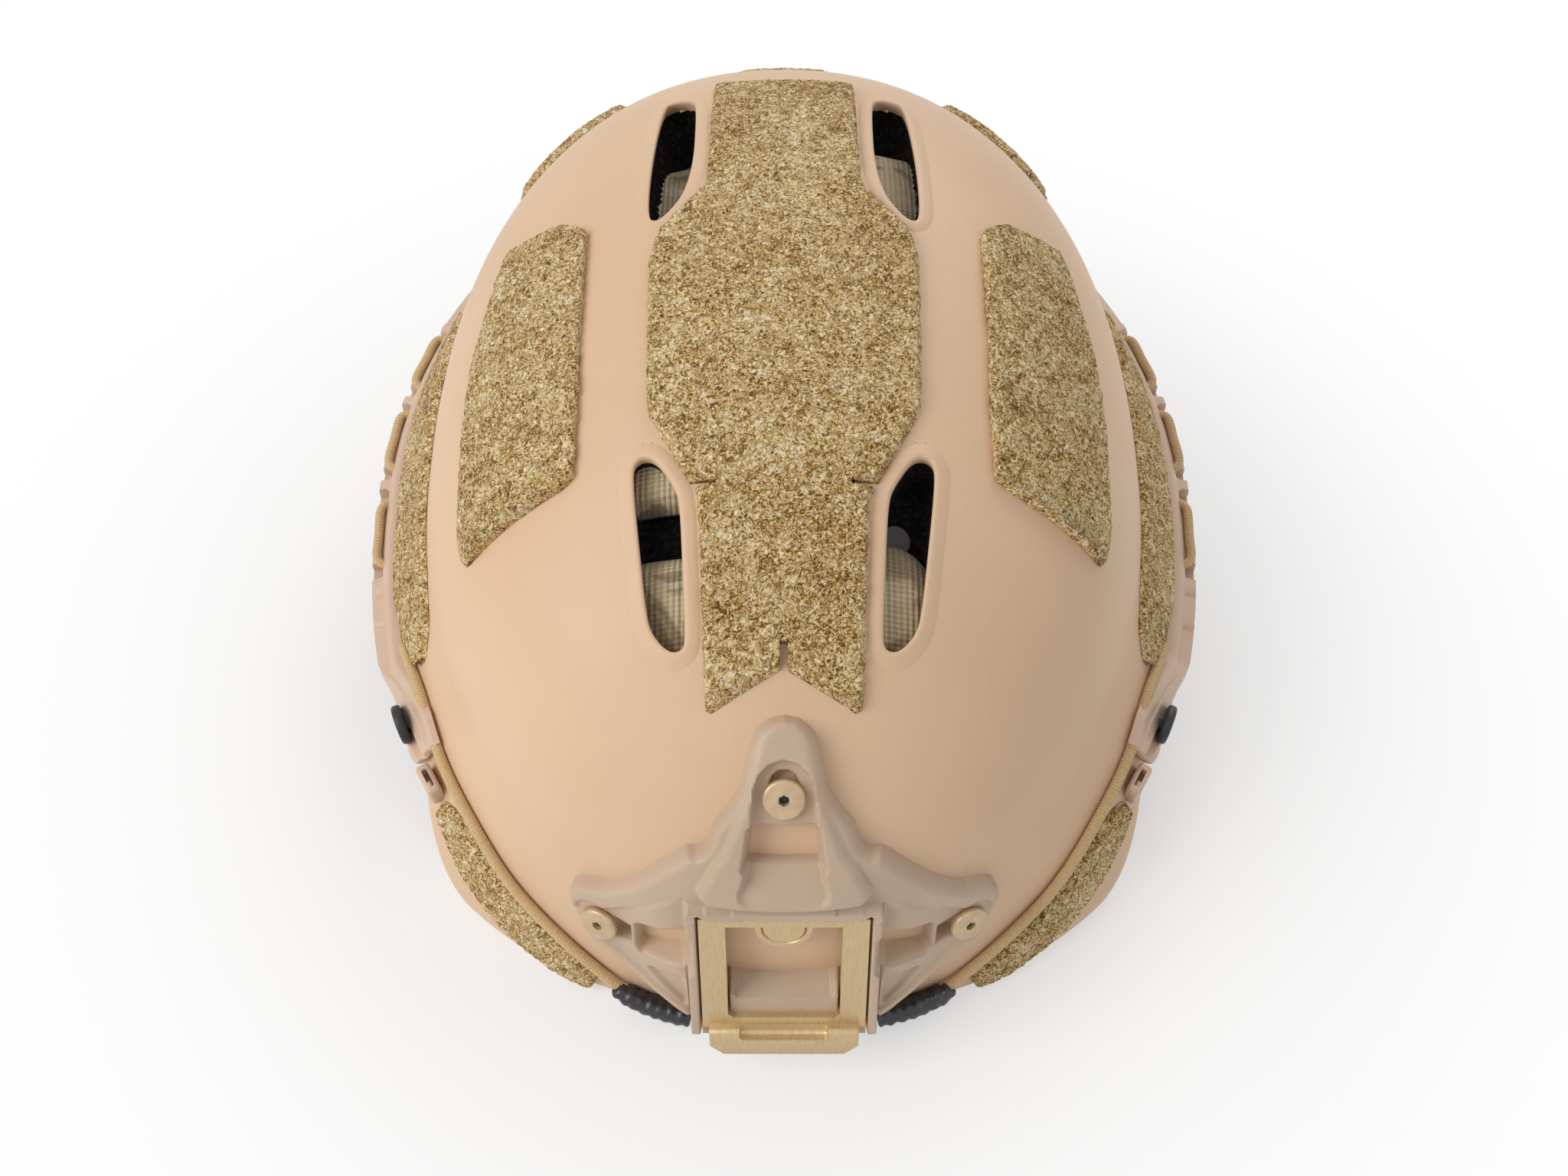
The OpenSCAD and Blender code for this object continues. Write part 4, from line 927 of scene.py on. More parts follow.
# %% [markdown]
# # Metal insert and screws
# The insert is a block with a window cut as a grid of cells: cells inside the window are left out, and
# the rest is extruded. The flat faces are then joined, up to a seam down the middle, so that every run
# gives the same mesh. The screw heads are discs with a hex socket.

# %% A plate from cells
def on_plate(point):
    x, y, z = point
    return standing(PLATE + Vector((x, 0, 0)) - FACE * y + UP * z)


def blank():
    """An empty bmesh with a UV map."""
    bm = bmesh.new()
    bm.loops.layers.uv.new("UVMap")
    return bm


def cell_plate(xs, zs, empty, low, high):
    bm = blank()
    corner = {}
    for x in xs:
        for z in zs:
            corner[x, z] = bm.verts.new((x, low, z))
    for xa, xb in zip(xs, xs[1:]):
        for za, zb in zip(zs, zs[1:]):
            if not empty((xa + xb) / 2, (za + zb) / 2):
                bm.faces.new([corner[xa, za], corner[xb, za], corner[xb, zb], corner[xa, zb]])
    made = bmesh.ops.extrude_face_region(bm, geom=bm.faces[:])
    risen = [v for v in made["geom"] if isinstance(v, bmesh.types.BMVert)]
    bmesh.ops.translate(bm, verts=risen, vec=(0, high - low, 0))
    bmesh.ops.delete(bm, geom=[v for v in bm.verts if not v.link_faces], context="VERTS")
    bmesh.ops.recalc_face_normals(bm, faces=bm.faces)
    flat = [e for e in bm.edges if e.calc_face_angle(0) < 0.01 and any(abs(v.co.x) > 1e-6 for v in e.verts)]
    bmesh.ops.dissolve_edges(bm, edges=flat, use_verts=True)
    return bm


def moved(bm, place):
    for v in bm.verts:
        v.co = place(v.co)
    bmesh.ops.recalc_face_normals(bm, faces=bm.faces)
    return bm


def joined(parts):
    whole = bmesh.new()
    for part in parts:
        mesh = meshed("part", part)
        whole.from_mesh(mesh)
        bpy.data.meshes.remove(mesh)
    return whole


# %% The insert
def insert_frame():
    half, low, high = 21.0, -22.8, 19.9
    win, win_low, win_high, corner = 14.4, -18.9, 17.0, 2.2
    arc = [i / 4 * corner for i in range(5)]
    xs = sorted({-half, half, *[s * (win - a) for s in (-1, 1) for a in arc], 0.0})
    zs = sorted({low, high, win_high, *[win_low + a for a in arc]})

    def empty(x, z):
        if abs(x) > win or not win_low < z < win_high:
            return False
        out_x, out_z = abs(x) - (win - corner), (win_low + corner) - z
        return not (out_x > 0 and out_z > 0 and math.hypot(out_x, out_z) > corner)

    return moved(cell_plate(xs, zs, empty, 0, 5), on_plate)


# %% A rod, and the insert's round boss
def rod(radius, low, high, sides, bevel):
    bm = blank()
    bmesh.ops.create_cone(bm, cap_ends=True, segments=sides, radius1=radius, radius2=radius, depth=high - low)
    bmesh.ops.translate(bm, verts=bm.verts, vec=(0, 0, (high + low) / 2))
    rims = [e for e in bm.edges if abs(e.verts[0].co.z - e.verts[1].co.z) < 1e-6]
    return bevelled(bm, rims, bevel, 3)


def highest(bm):
    return max(bm.faces, key=lambda f: f.calc_center_median().z)


def insert_boss():
    bm = rod(7.2, 0, 3.2, 72, 0.3)
    top = highest(bm)
    bmesh.ops.inset_region(bm, faces=[top], thickness=1.15)
    groove = bmesh.ops.inset_region(bm, faces=[top], thickness=0.35)["faces"]
    inner = bmesh.ops.inset_region(bm, faces=[top], thickness=0.35)["faces"]
    between = {v for f in groove for v in f.verts} & {v for f in inner for v in f.verts}
    bmesh.ops.translate(bm, verts=list(between), vec=(0, 0, -0.55))
    cut = bmesh.ops.bisect_plane(bm, geom=bm.verts[:] + bm.edges[:] + bm.faces[:], plane_co=(0, 2.0, 0),
                                 plane_no=(0, 1, 0), clear_outer=True)
    rim = [e for e in cut["geom_cut"] if isinstance(e, bmesh.types.BMEdge)]
    bmesh.ops.edgenet_fill(bm, edges=rim)
    return moved(bm, lambda c: on_plate((c.x, 4.2 - c.z, 15.2 + c.y)))


# %% The insert's ledge
def insert_ledge():
    half_top, half_low, low, high, front, back = 19.3, 15.7, -30.6, -21.4, -3.0, 4.9
    bm = blank()
    bmesh.ops.create_cube(bm, size=1)
    for v in bm.verts:
        y, z = front if v.co.y < 0 else back, high if v.co.z > 0 else low
        v.co = Vector((math.copysign(half_top, v.co.x), y, z))
    bottom = [e for e in bm.edges if abs(e.verts[0].co.y - e.verts[1].co.y) > 1
              and all(v.co.z < low + 0.1 for v in e.verts)]
    bevelled(bm, bottom, half_top - half_low, 1)
    lip = [e for e in bm.edges if all(v.co.z > high - 0.1 and v.co.y < 0 for v in e.verts)]
    bevelled(bm, lip, 1.5, 2)
    sharp = [e for e in bm.edges if len(e.link_faces) == 2 and e.calc_face_angle(0) > math.radians(30)]
    return bevelled(bm, sharp, 0.3, 2, clamp=True)


# %% [markdown]
# The ledge under the insert has a rounded recess. It is cut with a Boolean modifier, which suits one
# clean cut through a bevelled block better than moving single faces would.

# %% Cut a bmesh with another
def cut_away(bm, tool):
    host, knife = linked("host", meshed("host", bm)), linked("tool", meshed("tool", tool))
    cut = host.modifiers.new("cut", "BOOLEAN")
    cut.operation, cut.object, cut.solver = "DIFFERENCE", knife, "EXACT"
    bpy.context.view_layer.update()
    shape = bpy.data.meshes.new_from_object(host.evaluated_get(bpy.context.evaluated_depsgraph_get()))
    done = bmesh.new()
    done.from_mesh(shape)
    for obj in (host, knife):
        mesh = obj.data
        bpy.data.objects.remove(obj)
        bpy.data.meshes.remove(mesh)
    bpy.data.meshes.remove(shape)
    return done


def box(low, high, bevel, segments=3):
    bm = blank()
    bmesh.ops.create_cube(bm, size=1)
    for v in bm.verts:
        v.co = Vector([high[i] if v.co[i] > 0 else low[i] for i in range(3)])
    return bevelled(bm, bm.edges[:], bevel, segments)


ledge = cut_away(insert_ledge(), box((-11.5, -6, -24.4), (11.5, -0.4, -18), 1.2))
piece("shroud_insert_metal", joined([insert_frame(), insert_boss(), moved(ledge, on_plate)]),
      gold_metal, instead=["shroud_insert"], sharp=35)


# %% Screws of the shroud
SHROUD_SCREWS = ((0, TOP_SCREW_Z, 3.6), (SCREW_X, SCREW_Z, 3.95), (-SCREW_X, SCREW_Z, 3.95))


def screw_place(x, z):
    n = brow_normal(x, z)
    u = n.cross(Vector((0, 0, 1))).normalized()
    v = u.cross(n)
    spot = brow(x, z)
    return lambda c: standing(spot + u * c.x + v * c.y + n * c.z)


def screw_head(low):
    head = rod(5.15, low, low + 2.0, 64, 0.8)
    socket = rod(1.45, low + 0.7, low + 3, 6, 0.02)
    return joined([cut_away(head, socket), rod(2.05, -8, low + 0.5, 32, 0.1)])


screws = [moved(screw_head(seat), screw_place(x, z)) for x, z, seat in SHROUD_SCREWS]
piece("shroud_screw_set", joined(screws), screw_tan, instead=["shroud_screws"], sharp=32)
# A black disc in the bottom of each hex socket is painted shade in the hole.
socket_shade_discs = [moved(rod(1.3, seat + 0.55, seat + 0.85, 6, 0.02), screw_place(x, z))
           for x, z, seat in SHROUD_SCREWS]
piece("shroud_screw_socket_shade", joined(socket_shade_discs), black_metal, sharp=32)

# %% [markdown]
# # Cords
# A cord is a grid rolled into a tube and swept along a smooth path. Its cover is braided, so the radius
# rises and falls a little along it, which gives the fine cross ribs that show from close by.

# %% A smooth route through points, and places along it
def smooth_route(points, parts=12):
    path = []
    for i in range(len(points) - 1):
        a, b = points[max(i - 1, 0)], points[i]
        c, d = points[i + 1], points[min(i + 2, len(points) - 1)]
        for k in range(parts):
            t = k / parts
            line = 2 * b + (c - a) * t
            bent = line + (2 * a - 5 * b + 4 * c - d) * t ** 2
            path.append(0.5 * (bent + (3 * b - a - 3 * c + d) * t ** 3))
    return path + [points[-1]]


def lengths(path):
    reach = [0.0]
    for a, b in zip(path, path[1:]):
        reach.append(reach[-1] + (b - a).length)
    return reach


def found(row, reach, mm):
    """What a row of vectors says at so many millimetres along the path."""
    return Vector([float(np.interp(mm, reach, [p[i] for p in row])) for i in range(3)])


# %% A swept tube
def swept(points, radius, step=0.14, around=14):
    path = smooth_route([Vector(p) for p in points])
    reach = lengths(path)
    rings = max(8, int(reach[-1] / step))

    def at(mm):
        return found(path, reach, mm)

    frames = []
    for k in range(rings + 1):
        mm = reach[-1] * k / rings
        way = (at(min(reach[-1], mm + 0.7)) - at(max(0, mm - 0.7))).normalized()
        side = way.cross(Vector((1, 0, 0) if abs(way.z) > 0.9 else (0, 0, 1))).normalized()
        frames.append((at(mm), side, way.cross(side), mm))

    def place(u, v, w):
        centre, side, lift, mm = frames[round(v * rings)]
        turn = 2 * math.pi * u
        r = radius(mm, turn, reach[-1])
        return standing(centre + side * (r * math.cos(turn)) + lift * (r * math.sin(turn)))

    bm = shaped(place, around, rings, (2 * math.pi * 1.4, reach[-1]), seam=True, thick=False)
    open_rims = [e for e in bm.edges if len(e.link_faces) == 1]
    bmesh.ops.holes_fill(bm, edges=open_rims, sides=0)
    bmesh.ops.recalc_face_normals(bm, faces=bm.faces)
    return bm


def flipped(points, side):
    return [(side * x, y, z) for x, y, z in points]


def ribbed(r, pitch=0.55):
    return lambda mm, turn, end: r + 0.09 * math.sin(2 * math.pi * (mm / pitch + turn / (2 * math.pi))) \
        - 0.5 * r * (1 - rounding(min(mm, end - mm) + 0.15, 0.8))


# %% The two bungees, from the rails to under the brow
BUNGEE_R, BUNGEE_OFF = 1.5, 1.85
BUNGEE_ROUTE = [[70.5, 4.2], [66, 6.5], [62, 7.4], [53.7, 5.5], [45, 3], [36, -3], [27, -10], [19, -20],
                [16.8, -22.5]]
SLEEVE_ROUTE = [[18, -21], [17, -22.3], [14.2, -24.6], [11.4, -26.2], [9, -27]]


def sleeve_radius(mm, turn, end):
    crease = noise.noise(Vector((mm * 0.55, math.cos(turn), math.sin(turn) + 4)))
    fold = 0.16 * math.sin(mm * 2.1 + 1.5 * math.sin(turn))
    neck = mix(2.0, 2.9, ramp(mm, 0, 4.5)) + 0.2 * ramp(mm, 8, 11)
    return (neck + 0.22 * crease + fold) * (0.35 + 0.65 * rounding(min(mm, end - mm) + 0.3, 1.0))


for side, side_name in SIDES:
    route = flipped([shell_point(az, z, BUNGEE_OFF) for az, z in BUNGEE_ROUTE], side)
    piece(f"bungee_cord_{side_name}", swept(route, ribbed(BUNGEE_R)), elastic_cord,
          instead=[f"bungee_{side_name}"], sharp=180)
    route = flipped([shell_point(az, z, BUNGEE_OFF + 1.2) for az, z in SLEEVE_ROUTE], side)
    bm = swept(route, sleeve_radius, 0.3, 28)
    for v in bm.verts:
        v.co.z = max(v.co.z, 0.0005)
    piece(f"bungee_end_{side_name}", bm, black_sleeve,
          instead=[f"bungee_sleeve_{side_name}"], sharp=180)

# %% [markdown]
# # Side rails
# A rail is one profile run along the shell: a thin wall, a ledge that carries the lacing, and two
# dovetail grooves. Each value of the drop below the top edge has an outer and an inner offset.

# %% The rail's section
RAIL_FROM, RAIL_TO, RAIL_H, RAIL_TOP = 56, 122, 24.0, 1.0
TOP_KEYS = [[56, 8], [60, 9], [65, 7], [70, 1], [108, 1], [122, -2]]
FOOT_KEYS = [[56, -3], [60, -6], [65, -12], [70, -23], [108, -23], [122, -15]]
SECTION = [[0, 3.2, 0.3], [4, 3.3, 0.3], [4.3, 6.4, 0.3], [6, 6.4, 0.3], [6.2, 6.4, 3.2], [9.4, 6.4, 3.2],
           [9.6, 6.4, 0.3], [11, 6.4, 0.3], [11.4, 3.84, 0.3], [17, 3.84, 0.3], [17.4, 6.2, 0.3],
           [24, 5.63, 0.3]]
LACE_SPANS = [[82, 89.4], [92.6, 100], [103.6, 111.4]]
RAIL_SCREWS = [[73, -19], [104, -19]]
PER_DEGREE = 1.95  # mm along the rail
SEAT_R, SEAT_OFF = 3.4, 2.5


def bump(value, centre, half):
    return 1 - ramp(abs(value - centre), half * 0.8, half)


def rail_offsets(az, drop):
    shelf = max([bump(az, c, 0.75) for c in (79.6, 91.0, 101.8, 113.4)] + [bump(az, 76.5, 1.9)])
    d = drop + 1.1 * shelf * bump(drop, 3.6, 2.2)
    arm = 1 - ramp(az, 66, 71)
    outer = softened(SECTION, d, 1, 0.45)
    inner = at_key(SECTION, d, 2)
    if d < 4.2:
        outer = mix(outer, 5.8, arm)
    outer = mix(outer, 0.62 * outer + 0.3, arm)
    inner = mix(inner, 1.6 if d < 11 else 0.5, arm)
    hollow = bump(az, 71.2, 1.7) * bump(drop, 8.3, 2.5)
    outer -= 2.2 * hollow
    return outer, inner


def rail_spot(az, drop, w, side):
    top, foot = at_key(TOP_KEYS, az, 1), at_key(FOOT_KEYS, az, 1)
    outer, inner = rail_offsets(az, drop)
    z = top - drop * (top - foot) / RAIL_H
    end = min(az - RAIL_FROM, RAIL_TO - az) * PER_DEGREE
    edge = rounding(min(end, drop + 0.1, RAIL_H - drop + 0.1), 1.3)
    outer = mix(inner + 0.4, outer, 0.45 + 0.55 * edge)
    for place_az, place_z in RAIL_SCREWS:
        if math.hypot((az - place_az) * PER_DEGREE, z - place_z) < SEAT_R:
            outer = min(outer, SEAT_OFF)
    x, y, z = shell_point(az, z, mix(outer, inner, w))
    return side * x, y, z


# %% The rail, with windows for its lacing
def rail(side):
    def place(u, v, w):
        return standing(rail_spot(mix(RAIL_FROM, RAIL_TO, v), RAIL_H * u, w, side))

    def keep(u, v):
        az, drop = mix(RAIL_FROM, RAIL_TO, v), RAIL_H * u
        for a, b in LACE_SPANS:
            for edge in (a - 0.3, b + 0.3):
                if abs(az - edge) * PER_DEGREE < 1.8 and 3.0 < drop < 8.4:
                    return False
        return True

    return shaped(place, 74, 210, (30, 130), keep=keep)


# %% The lacing, over the ledge and back behind it
LEDGE, BACK = (5.1, -2.5), (1.75, -7.8)  # offset from the shell, rise over the rail's top


def lacing_route():
    def at(az, off_rise):
        return shell_point(az, RAIL_TOP + off_rise[1], off_rise[0])

    route = [at(LACE_SPANS[0][0] - 2, BACK)]
    for i, (a, b) in enumerate(LACE_SPANS):
        after = LACE_SPANS[i + 1][0] if i + 1 < len(LACE_SPANS) else b + 4
        route += [at(a, (1.9, -6)), at(a, (2, -3.4)), at(a + 0.9, LEDGE), at((a + b) / 2, LEDGE),
                  at(b - 0.9, LEDGE), at(b, (2, -3.4)), at(b, (1.9, -6)), at((b + after) / 2, BACK)]
    return route


for side, side_name in SIDES:
    piece(f"rail_moulding_{side_name}", rail(side), rail_tan,
          instead=[f"rail_{side_name}"], sharp=34)
    piece(f"rail_lacing_cord_{side_name}", swept(flipped(lacing_route(), side), ribbed(1.3)), elastic_cord,
          instead=[f"rail_lacing_{side_name}"], sharp=180)

# %% Knobs, clips and screws of the rails
def flank_place(az, z, side):
    spot = Vector(shell_point(az, z))
    along = (Vector(shell_point(az + 1, z)) - Vector(shell_point(az - 1, z))).normalized()
    up = Vector((0, 0, 1))
    out = along.cross(up).normalized()
    out = out if out.x > 0 else -out

    def place(c):
        q = spot + along * c.x + up * c.y + out * c.z
        return standing((side * q.x, q.y, q.z))

    return place


def knob():
    head = cut_away(rod(5.6, 4.6, 7.2, 72, 0.9), box((-3.8, -0.6, 6.5), (3.8, 0.6, 9), 0.2))
    return joined([head, rod(2, 0.4, 5.2, 32, 0.1)])


def rail_screw():
    head = cut_away(rod(3, 2.55, 3.95, 48, 0.3), rod(1.2, 3.0, 5, 6, 0.02))
    return joined([head, rod(1.95, -7, 2.8, 32, 0.1), rod(4.2, -7.5, -5.7, 48, 0.3)])


def clip():
    bm = box((-4.6, -4.4, 0.4), (4.6, 4.4, 4.4), 1.1, 4)
    return cut_away(bm, box((-2.8, -6, 1.7), (2.8, 6, 3.2), 0.4))


knobs, rail_screws = [], []
for side, side_name in SIDES:
    knobs.append(moved(knob(), flank_place(61, 1.5, side)))
    piece(f"rail_tab_{side_name}", moved(clip(), flank_place(53, -3.0, side)), rail_tan,
          instead=[f"rail_clip_{side_name}"], sharp=40)
    for az, z in RAIL_SCREWS:
        rail_screws.append(moved(rail_screw(), flank_place(az, z, side)))
piece("rail_knob_pair", joined(knobs), black_nylon, instead=["rail_knobs"], sharp=35)
piece("rail_screw_set", joined(rail_screws), black_metal, instead=["rail_screws"],
      sharp=35)

# %% [markdown]
# # Linings
# The impact liner is a dark foam dome inside the shell. The comfort pads are cushions under a knit
# cover, and a cloth simulation blows each one up a little so that the cover looks filled.

# %% Impact liner and its vent throats
LINER_HIGH, LINER_LOW, LINER_LIFT, NAPE_CLEAR = -3.7, -17.7, 13.0, 47.0
piece("liner_shell", dome(LINER_HIGH, LINER_LOW, 260, 110, 3.4, LINER_LIFT, NAPE_CLEAR), liner_foam,
      instead=["impact_liner"], sharp=50)


def throat(side, outline):
    ring = grown(outline, 1.3)
    count = len(ring)

    def place(u, v, w):
        x, y = ring[round(v * count) % count]
        return standing((side * x, y, top_z(x, y, mix(-2.7, LINER_LOW, u))))

    return shaped(place, 6, count, thick=False)


throats = [throat(side, outline) for side in (1, -1) for outline in VENTS]
piece("liner_vent_throats", joined(throats), liner_foam, sharp=80)


# %% A cushion blown up with cloth
def filled(bm, cap, voxel=0.0026):
    """Blow a cushion up with a short cloth simulation, each point moving `cap` metres at most."""
    mesh = meshed("cushion", bm)
    obj = linked("cushion", mesh)
    remesh = obj.modifiers.new("remesh", "REMESH")
    remesh.mode, remesh.voxel_size = "VOXEL", voxel
    depsgraph = bpy.context.evaluated_depsgraph_get()
    even = bpy.data.meshes.new_from_object(obj.evaluated_get(depsgraph))
    obj.modifiers.clear()
    obj.data = even
    rest = [v.co.copy() for v in even.vertices]
    cloth = obj.modifiers.new("cloth", "CLOTH")
    cloth.settings.use_pressure = True
    cloth.settings.uniform_pressure_force = 4
    cloth.settings.effector_weights.gravity = 0
    scene = bpy.context.scene
    for frame_number in range(1, 21):
        scene.frame_set(frame_number)
    blown = obj.evaluated_get(bpy.context.evaluated_depsgraph_get()).to_mesh()
    moves = [v.co - r for v, r in zip(blown.vertices, rest)]
    longest = max(m.length for m in moves)
    obj.modifiers.clear()
    done = bmesh.new()
    done.loops.layers.uv.new("UVMap")
    done.from_mesh(even)
    done.verts.ensure_lookup_table()
    for v, r, m in zip(done.verts, rest, moves):
        v.co = r + (m if m.length <= cap else m * (cap / m.length))
    scene.frame_set(1)
    bpy.data.objects.remove(obj)
    bpy.data.meshes.remove(mesh)
    bpy.data.meshes.remove(even)
    bmesh.ops.smooth_vert(done, verts=done.verts, factor=0.5,
                          use_axis_x=True, use_axis_y=True, use_axis_z=True)
    print("cushion simulated, longest free move in mm:", round(longest * 1000, 1))
    return done


# %% Pads
PAD_HIGH, PAD_T = -18.4, 9.0
SHRINK = 0.7  # room left for the cloth to swell into


def crown_share(u, v):
    return 0.45 + 0.55 * max(0.0, math.sin(math.pi * u) * math.sin(math.pi * v)) ** 0.5


def cushion(spot_at):
    def place(u, v, w):
        swell = PAD_T * crown_share(v, u)
        return standing(spot_at(v, u, mix(PAD_HIGH - SHRINK, PAD_HIGH - swell + SHRINK, w)))

    return filled(shaped(place, 26, 26), 0.0009)


def top_cushion(y0, y1, half0, half1):
    def spot_at(r, c, off):
        wide = mix(half0, half1, r) * (1.06 - 0.1 * abs(2 * r - 1) ** 3) - SHRINK
        x, y = mix(-1, 1, c) * wide, mix(y0 + SHRINK, y1 - SHRINK, r)
        return x, y, top_z(x, y, off)

    return cushion(spot_at)


def side_cushion(az0, az1, z0, z1, side=1):
    def spot_at(r, c, off):
        az = mix(az0, az1, r + 0.03 * (1 - 2 * r) * abs(2 * c - 1) ** 3)
        z = mix(z1 - SHRINK, z0 + SHRINK, c + 0.05 * (1 - 2 * c) * abs(2 * r - 1) ** 3)
        x, y, z = shell_point(az, z, off)
        return side * x, y, z

    return cushion(spot_at)


PADS = [("pad_front", top_cushion(-88, -44, 32, 38)), ("pad_crown", top_cushion(-38, 30, 34, 34)),
        ("pad_back", top_cushion(36, 84, 38, 34)), ("pad_brow", side_cushion(-34, 34, -2, 26)),
        ("pad_nape", side_cushion(148, 212, -14, 22)), ("pad_side_left", side_cushion(66, 114, 4, 36)),
        ("pad_side_right", side_cushion(66, 114, 4, 36, -1))]
for pad_name, bm in PADS:
    pad = piece(f"{pad_name}_cushion", bm, knit_pad, instead=[pad_name], sharp=180)


# %% [markdown]
# # What shows through the vents
# The pads' cover swells into the vents a little, and foam bridges cross the front ones. Each swell is a
# small grid that sags at its edges. A grey fastening disc shows in the front vent on the left.

# %% Swells, bridges and the disc
grey_fabric = Paint("grey_fabric", Base_Color=tone(128, 126, 132), Roughness=0.8, Specular_IOR_Level=0.3)


def vent_swell(x0, y0, y1, rise, bow):
    def place(u, v, w):
        x = x0 + mix(-11, 11, u)
        y = mix(y0, y1, v) + bow * (2 * u - 1) ** 2
        sag = 5 * abs(2 * v - 1) ** 5 + 2.5 * abs(2 * u - 1) ** 4
        return standing((x, y, top_z(x, y, rise - sag - 1.2 * w)))

    return shaped(place, 24, 40)


SWELLS = [(-30, -93, -62, -5.0, 0.0), (-31, -50.5, -36, -5.5, 0.0), (26, -93, -59, -5.0, -6.0),
          (31, 38, 75, -9.0, 2.0), (-31, 34, 74, -13.0, 0.0)]
swells = [vent_swell(*numbers) for numbers in SWELLS]
piece("knit_vent_swells", joined(swells), knit_pad, sharp=180)
bridges = [vent_swell(-31, -70, -40, -15, 0.0), vent_swell(31, -70, -36, -15, 0.0)]
piece("liner_vent_bridges", joined(bridges), liner_foam, sharp=180)
DISC_X, DISC_Y, DISC_OFF = 27.5, -56.0, -13.2


def at_disc(c):
    x, y = DISC_X + c.x, DISC_Y + c.y
    return standing((x, y, top_z(x, y, DISC_OFF + c.z)))


piece("pad_fastening_disc", moved(rod(3.6, 0, 0.8, 40, 0.2), at_disc), grey_fabric,
      sharp=40)

# %% [markdown]
# # Fit band and dial
# A strip round the brow and temples slides in a yoke at the nape. Turning the dial draws the yoke
# forward, so the yoke's pieces ride on its body and the dial on its own.

# %% Headband
BAND_T, BAND_HIGH = 1.2, -18.4
BAND_KEYS = [[-116, -13, -3], [-70, -12, -2.5], [70, -12, -2.5], [116, -13, -3]]


def band(keys, off_at, thick, across, along, size, keep=None, rib=0.0):
    t0, t1 = keys[0][0], keys[-1][0]

    def place(u, v, w):
        az = mix(t0, t1, v)
        low, high = softened(keys, az, 1, 1.5), softened(keys, az, 2, 1.5)
        end = min(v, 1 - v) * size[1]
        tuck = 3.5 - math.sqrt(max(0.0, 3.5 ** 2 - max(0.0, 3.5 - end) ** 2))
        z = mix(low + tuck, high - tuck, u)
        off = off_at(az)
        edge = rounding(min(min(u, 1 - u) * (high - low), end) + 0.1, 0.5)
        rise = -rib * bump(u, 0.5, 0.3)
        out = off - thick * 0.28 * (1 - edge) + rise
        return standing(shell_point(az, z, mix(out, off - thick + thick * 0.28 * (1 - edge) + rise, w)))

    return shaped(place, across, along, size, keep=keep)


bm = band(BAND_KEYS, lambda az: BAND_HIGH, BAND_T, 14, 260, (9.5, 400), rib=0.25,
          keep=lambda u, v: not (0.36 < u < 0.64 and 0.35 < (v * 60) % 1 < 0.65 and (v < 0.2 or v > 0.8)))
piece("headband_strip", bm, black_nylon, instead=["headband"], sharp=40)

# %% Nape yoke
YOKE_T, DIAL_Z, YOKE_GAP = 1.8, -56.0, 0.35
YOKE_SIDE = [[106, -12, -5], [114, -12, -5], [124, -22, -10], [134, -42, -28], [146, -60, -46],
             [158, -66, -48], [180, -68, -46]]
YOKE_KEYS = YOKE_SIDE + [[360 - t, a, b] for t, a, b in YOKE_SIDE[-2::-1]]


def yoke_off(az):
    return mix(BAND_HIGH - BAND_T - YOKE_GAP, BAND_HIGH - 17, ramp(fold(az), 118, 152))


def in_yoke_slot(u, v):
    az = fold(mix(YOKE_KEYS[0][0], YOKE_KEYS[-1][0], v))
    return any(abs(az - c) < 2.3 and 0.34 < u < 0.66 for c in (140, 148, 156))


bm = band(YOKE_KEYS, yoke_off, YOKE_T, 22, 230, (18, 260), keep=lambda u, v: not in_yoke_slot(u, v))
piece("nape_yoke_arm", bm, black_nylon, body="yoke", instead=["nape_yoke"], sharp=40)

# %% Dial housing
YOKE_Y = plan_y(180, DIAL_Z, yoke_off(180))
HOUSING_T, DIAL_R, DIAL_T, HUB_R, PINION_R = 7.0, 17.0, 7.0, 3.0, 5.0


def at_dial(c):
    return standing((c.x, YOKE_Y + 0.8 + c.z, DIAL_Z - c.y))


def housing():
    drum = cut_away(rod(DIAL_R + 2, 0, HOUSING_T, 96, 0.8), rod(DIAL_R - 4, 2, HOUSING_T + 3, 96, 0.1))
    drum = cut_away(drum, rod(HUB_R + 0.08, -2, 4, 48, 0.02))
    parts = [drum]
    for side in (-1, 1):
        near, far = sorted((side * 16.5, side * 27.2))
        wing = box((near, -7.5, 0), (far, 7.5, HOUSING_T), 1.2, 4)
        dip = box((side * 22.6 - 3.4, -4.6, HOUSING_T - 2.4), (side * 22.6 + 3.4, 4.6, HOUSING_T + 2), 0.5)
        parts.append(cut_away(wing, dip))
    return joined(parts)


# %% The dial
def grip_wheel():
    bm = rod(DIAL_R, HOUSING_T + 0.3, HOUSING_T + 0.3 + DIAL_T, 216, 0.8)
    for v in bm.verts:
        r = math.hypot(v.co.x, v.co.y)
        if r > DIAL_R - 1.2 and v.co.z > HOUSING_T + 1.7:
            dip = 1.3 * max(0.0, math.cos(18 * math.atan2(v.co.y, v.co.x))) ** 1.5
            v.co.x *= (r - dip) / r
            v.co.y *= (r - dip) / r
    top = highest(bm)
    bmesh.ops.inset_region(bm, faces=[top], thickness=2.2)
    bmesh.ops.inset_region(bm, faces=[top], thickness=0.6)
    bmesh.ops.translate(bm, verts=list(top.verts), vec=(0, 0, -0.9))
    bmesh.ops.inset_region(bm, faces=[top], thickness=6)
    bmesh.ops.inset_region(bm, faces=[top], thickness=0.4)
    bmesh.ops.translate(bm, verts=list(top.verts), vec=(0, 0, 0.5))
    return bm


